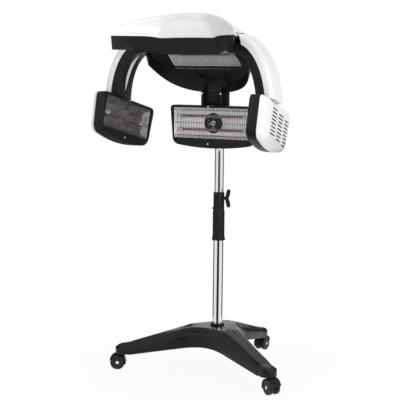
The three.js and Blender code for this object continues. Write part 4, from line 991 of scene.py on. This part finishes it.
OVAL_FRONT, OVAL_HALF, OVAL_AHEAD, OVAL_BEHIND = (205, 335), 258, 110, 165
OVAL_BLEND, OVAL_FROM, OVAL_OVER = 0.7, 0.86, 0.6
FRONT_POWER, BACK_FLATTER, POWER_OVER = 2.5, 0.9, 120
PAD_HALF, PAD_DEEP, PAD_Y, PAD_RISE = 128, 62, -205, 1.4
PAD_EDGE, PAD_FADE = 0.85, 0.3
SMOOTHING, SMOOTH_FROM = 30, 0.94
HOOD_WALL = 3
HOOD_LIP = ((1, 1.2), (0.9985, 1.6), (0.9968, 1.2))
HOOD_SHARES = (0.989, 0.98, 0.968, 0.952, 0.932, 0.908, 0.88, 0.848, 0.812, 0.772, 0.728, 0.68, 0.63, 0.58,
               0.53, 0.485, 0.44, 0.39, 0.33, 0.26, 0.18, 0.09, 0.03)
INNER_SHARES = (1, 0.995) + HOOD_SHARES[1::2]


def oval_point(index, count):
    """The point of the oval that an outline point turns into."""
    first, second = TIP_AT
    start, end = OVAL_FRONT
    if index < second:
        turn = start + (end - start) * (index - first) / (second - first)
    else:
        turn = end + (start + 360 - end) * (index - second) / (count - second)
    c, s = cos_sin(turn)
    return OVAL_HALF * c, (OVAL_AHEAD if s < 0 else OVAL_BEHIND) * s


def hood_ring(inset, share, lip=0.0):
    """A ring of the hood at a share of the way from its crown to its rim."""
    blend = OVAL_BLEND * smoothstep((OVAL_FROM - share) / OVAL_OVER)
    outline = canopy_outline(inset - lip)
    ring = []
    for i, (x, y, edge) in enumerate(outline):
        ox, oy = oval_point(i, len(outline))
        px = share * (x + (ox - x) * blend)
        py = APEX_Y + share * (y - APEX_Y + (oy - y + APEX_Y) * blend)
        power = FRONT_POWER
        if i >= TIP_AT[1]:
            power -= BACK_FLATTER * smoothstep((edge - TIP[1]) / POWER_OVER)
        rim = rim_height(edge)
        z = rim + (APEX - inset - rim) * math.sqrt(max(0, 1 - share ** power))
        from_pad = math.hypot(px / PAD_HALF, (py - PAD_Y) / PAD_DEEP)
        z += PAD_RISE * (1 - smoothstep((from_pad - PAD_EDGE) / PAD_FADE))
        ring.append(Vector((px, py, z)))
    for _ in range(round(SMOOTHING * max(0, SMOOTH_FROM - share))):
        ring = [(ring[i - 1] + ring[i] * 2 + ring[(i + 1) % len(ring)]) / 4 for i in range(len(ring))]
    return ring


# Arms: each is a band about a quarter oval, with offsets outwards from its middle line

PIVOT = (joint_at("arm_swing_right")[X], joint_at("arm_swing_right")[Z])
ARM_Y = joint_at("arm_swing_right")[Y]
SWING, SWING_STEPS = JOINTS["arm_swing_right"]["range_deg"], 4
ARM_HALF, ARM_WIDTH = 36, 90
ARM_END_Z = span("arm_frame_right", Z)[0]
ARM_REACH, ARM_DROP = 132, PIVOT[1] - ARM_END_Z
SWING_GAP = 1.5


def arm_polygon(side, outer, inner):
    points = arc(PIVOT[0], ARM_END_Z, ARM_REACH + outer, ARM_DROP + outer, 90, 0, 20)
    points += arc(PIVOT[0], ARM_END_Z, ARM_REACH + inner, ARM_DROP + inner, 0, 90, 20)
    return [(side * x, z) for x, z in points]


def swing_cuts():
    """The room that both arms need over their whole swing."""
    cuts = Form()
    wide = ARM_HALF + SWING_GAP
    low, high = ARM_Y - ARM_WIDTH / 2 - SWING_GAP, ARM_Y + ARM_WIDTH / 2 + SWING_GAP
    for side in SIDES.values():
        at = (side * PIVOT[0], PIVOT[1])
        cuts.slab(arc(at[0], at[1], wide, wide, 0, 360, 40)[:-1], low, high)
        for step in range(SWING_STEPS + 1):
            turn = SWING[0] + (SWING[1] - SWING[0]) * step / SWING_STEPS
            c, s = cos_sin(turn * side)
            band = []
            for x, z in arm_polygon(side, wide, -wide):
                dx, dz = x - at[0], z - at[1]
                band.append((at[0] + dx * c - dz * s, at[1] + dx * s + dz * c))
            cuts.slab(band, low, high)
    return cuts


def make_hood():
    outer = [hood_ring(0, share, lip) for share, lip in HOOD_LIP]
    outer += [hood_ring(0, share) for share in HOOD_SHARES]
    inner = [hood_ring(HOOD_WALL, share) for share in INNER_SHARES]
    form = Form().loft(inner[::-1] + outer)
    piece("hood", form, WHITE, "hood_cover", sharp=42, cuts=swing_cuts())


# Bowl and crown heater

CROWN = {"y": -146, "window": (298, 124, 8, 0), "tube": 230, "tube_depth": 25, "tube_rise": -24}
BOWL_SHARES = (0.94, 0.72, 0.5, 0.3, 0.1)
BEARING_GAP, BEARING_LENGTH, BEARING_SIZE = 2, 11, (20.8, 10.4)
BEARING = ((6.3, 0), (12.4, 0), (13, 0.8), (13, 10), (12, 11), (6.3, 11))
ARM_PIN_HALF = (span("arm_pin_right", Y)[1] - span("arm_pin_right", Y)[0]) / 2
HOOKS, HOOKS_REACH = 50, 143
HOOK = ((-5.2, -66.5), (-5.9, -69), (-5.2, -72))


def crown_place():
    tilt = Matrix.Rotation(-math.atan(REAR_SLOPE + CEILING_FALL), 4, "X")
    at = (0, CROWN["y"], ceiling_top(CROWN["y"]))
    return Matrix.Translation(at) @ tilt @ Matrix.Rotation(math.pi / 2, 4, "X")


CROWN_PLACE = crown_place()


def make_bowl():
    rings = [canopy_ring(11, ceiling_top, share) for share in reversed(BOWL_SHARES)]
    rings += [rim_ring(inset, -drop) for inset, drop in ((9, 0.3), (0.8, 0.3), (0, 1.1), (0.4, 3))]
    for share in (0.3, 0.6, 0.9):
        rings.append(canopy_ring(SKIRT_SLANT * share, lambda y: skirt_height(y, share)))
    rings.append(canopy_ring(SKIRT_SLANT - 0.6, lambda y: skirt_height(y) + 1))
    rings += [canopy_ring(SKIRT_SLANT + 0.4, skirt_height), canopy_ring(SKIRT_SLANT + 4, skirt_height)]
    rings.append(canopy_ring(13, corner_height))
    rings += [canopy_ring(15, ceiling_height, share) for share in BOWL_SHARES]
    cuts = swing_cuts()
    cuts.slab(rounded_rectangle(*CROWN["window"]), -20, 20, CROWN_PLACE)
    piece("bowl", Form().loft(rings), BLACK, "canopy_shell", sharp=34, cuts=cuts)


def make_bearings():
    bearings = Form()
    for side in SIDES.values():
        for end in (-1, 1):
            start = ARM_Y + end * (ARM_WIDTH / 2 + BEARING_GAP)
            middle = start + end * BEARING_LENGTH / 2
            at = turned_to((0, end, 0), (side * PIVOT[0], start, PIVOT[1]))
            bearings.lathe(BEARING, 40, at)
            roof = ceiling_height(middle) + CEILING_WALL / 2
            size = (*BEARING_SIZE, abs(roof - PIVOT[1]) + 2)
            bearings.block(size, (side * PIVOT[0], middle, (roof + PIVOT[1]) / 2))
    piece("arm_bearings", bearings, BLACK, "canopy_shell", sharp=34)
    for name, side in SIDES.items():
        at = turned_to((0, 1, 0), (side * PIVOT[0], ARM_Y, PIVOT[1]))
        pin = Form().spindle(pin_profile(6, ARM_PIN_HALF, 1.2, 1.1), 32, at)
        piece("arm_pivot_" + name, pin, STEEL, "arm_pin_" + name, sharp=30)


def make_crown():
    make_guard("crown_wires", CROWN, CROWN_PLACE, "crown_guard", y=1.1, grow=5.7, pitch=8.6, wire_radius=1.3)
    make_tube("crown_lamp", CROWN, CROWN["tube_rise"], CROWN_PLACE, "crown_tube", "crown_coil", turns=34)
    hooks = Form()
    for wire in range(HOOKS):
        x = -HOOKS_REACH + wire * 2 * HOOKS_REACH / (HOOKS - 1)
        hooks.sweep([(x, y, z) for y, z in HOOK], 1.0, 6, CROWN_PLACE)
    piece("crown_wire_ends", hooks, STEEL, sharp=50, body="head")
    for node in ("crown_reflector", "crown_block_left", "crown_block_right"):
        dress(node)


make_hood()
make_bowl()
make_bearings()
make_crown()


# Neck

RIB_PATH = ((40, -66, 1060), (40, -67, 1095), (40.5, -67, 1122), (42.5, -66, 1142), (47, -68, 1158),
            (54, -74, 1172), (63, -82, 1182))
RIB_RADIUS = 4.6
NECK_SCREW = (40, -71.2, 1104)


def make_neck():
    dress("neck", edge=1.5)
    ribs = Form()
    screws = Form()
    for side in SIDES.values():
        ribs.sweep([(side * x, y, z) for x, y, z in RIB_PATH], RIB_RADIUS, 14)
        make_screw(screws, Matrix.Identity(4), (side * NECK_SCREW[X], *NECK_SCREW[Y:]), radius=3.4)
    piece("neck_ribs", ribs, BLACK, "neck", sharp=40)
    piece("neck_screws", screws, ZINC, body="head")


make_neck()


# Side arms and panels

SEAM, SEAM_GAP = 3, 0.3
ARM_STEPS = 40
SLOT_STEPS, SLOT_START, SLOT_SWEEP = 36, 80, 68
SLOT_HALF, SLOT_TIP, SLOT_POWER = 15, 0.12, 0.7
SCORE_AT, SCORE_WIDTH, SCORE_DEPTH = 26.4, 0.4, 0.8
PANEL_BEHIND, PANEL_AHEAD = 88, 70
VENT_COLUMNS, VENT_ROWS = 3, 8
VENT_STEP, VENT_SHIFT, VENT_PITCH, VENT_SLOPE = 72, 10, 13, 0.1
VENT_SIZE = (58, 6)


def arm_point(side, angle, offset, y):
    c, s = cos_sin(angle)
    x, z = PIVOT[0] + (ARM_REACH + offset) * c, ARM_END_Z + (ARM_DROP + offset) * s
    return side * x, ARM_Y + y, z


def section(low, high, half, inner, outer):
    """A cross-section in (offset, y) with a radius for its inner and for its outer corners."""
    points = []
    for offset, radius, end, start in ((high - outer, outer, -1, -90), (high - outer, outer, 1, 0),
                                       (low + inner, inner, 1, 90), (low + inner, inner, -1, 180)):
        points += arc(offset, end * (half - radius), radius, radius, start, start + 90, 6)
    return points


def arm_loft(side, shape, start, end, steps):
    rings = []
    for i in range(steps + 1):
        angle = start + (end - start) * i / steps
        rings.append([arm_point(side, angle, offset, y) for offset, y in shape])
    return rings


def crescent(side, low, high, half):
    """A long slot along the arm that narrows towards both ends."""
    rings = []
    for i in range(SLOT_STEPS + 1):
        t = i / SLOT_STEPS
        width = half * (SLOT_TIP + (1 - SLOT_TIP) * math.sin(math.pi * t) ** SLOT_POWER)
        shape = section(low, high, width, 1.0, 1.0)
        rings.append([arm_point(side, SLOT_START - SLOT_SWEEP * t, offset, y) for offset, y in shape])
    return rings


def make_arm(name, side):
    place = side_place(side)
    panel_room = panel_outline(SIDE, -0.3)
    half = ARM_WIDTH / 2
    shell = Form().loft(arm_loft(side, section(SEAM + SEAM_GAP, ARM_HALF, half, 0.8, 17), 97, 0, ARM_STEPS))
    shell_cuts = Form().slab(panel_room, -0.5, PANEL_BEHIND, place)
    score = section(ARM_HALF - SCORE_DEPTH, 60, 60, 1, 1)
    shell_cuts.loft(arm_loft(side, score, SCORE_AT, SCORE_AT - SCORE_WIDTH, 2))
    piece("arm_shell_" + name, shell, WHITE, "arm_cover_" + name, sharp=40, cuts=shell_cuts)

    rails = Form().loft(arm_loft(side, section(-ARM_HALF, SEAM, half, 9, 0.8), 90, 0, ARM_STEPS))
    at = turned_to((0, 1, 0), (side * PIVOT[0], ARM_Y, PIVOT[1]))
    rails.spindle(pin_profile(ARM_HALF, half, 2, 1.4), 64, at)
    rail_cuts = Form().loft(crescent(side, -ARM_HALF - 10, SEAM + 0.2, SLOT_HALF))
    rail_cuts.slab(panel_room, -PANEL_AHEAD, PANEL_BEHIND, place)
    piece("arm_rails_" + name, rails, BLACK, "arm_frame_" + name, sharp=36, cuts=rail_cuts)
    inlay = Form().loft(crescent(side, -ARM_HALF + 5, SEAM, SLOT_HALF - SEAM_GAP))
    piece("arm_inlay_" + name, inlay, WHITE, sharp=40, body="arm_" + name)


def make_panel(name, side):
    place = side_place(side)
    slots = []
    for column in range(VENT_COLUMNS):
        for row in range(VENT_ROWS):
            x = (column - (VENT_COLUMNS - 1) / 2) * VENT_STEP - side * VENT_SHIFT
            z = (row - (VENT_ROWS - 1) / 2) * VENT_PITCH + side * VENT_SLOPE * x
            slots.append((x, z, *VENT_SIZE))
    make_case("panel_%s_" + name, SIDE, place, slots)
    make_tube("panel_lamp_" + name, SIDE, SIDE["window"][3], place, "panel_tube_" + name, None, turns=28)
    screws = Form()
    for z in (80, -66):
        make_screw(screws, place, (0, SCREW_SINK, z), radius=2.6)
    piece("panel_screws_" + name, screws, ZINC, body="arm_" + name)
    tray = dress("panel_reflector_" + name)
    # The side panels' trays take the darker reflector sheet, whose darkness is painted shade.
    tray.data.materials[0] = REFLECTOR_PAINTED_SHADE
    for end in ("front_", "rear_"):
        dress("panel_block_" + end + name)


for side_name, side_sign in SIDES.items():
    make_arm(side_name, side_sign)
    make_panel(side_name, side_sign)

bpy.context.view_layer.update()
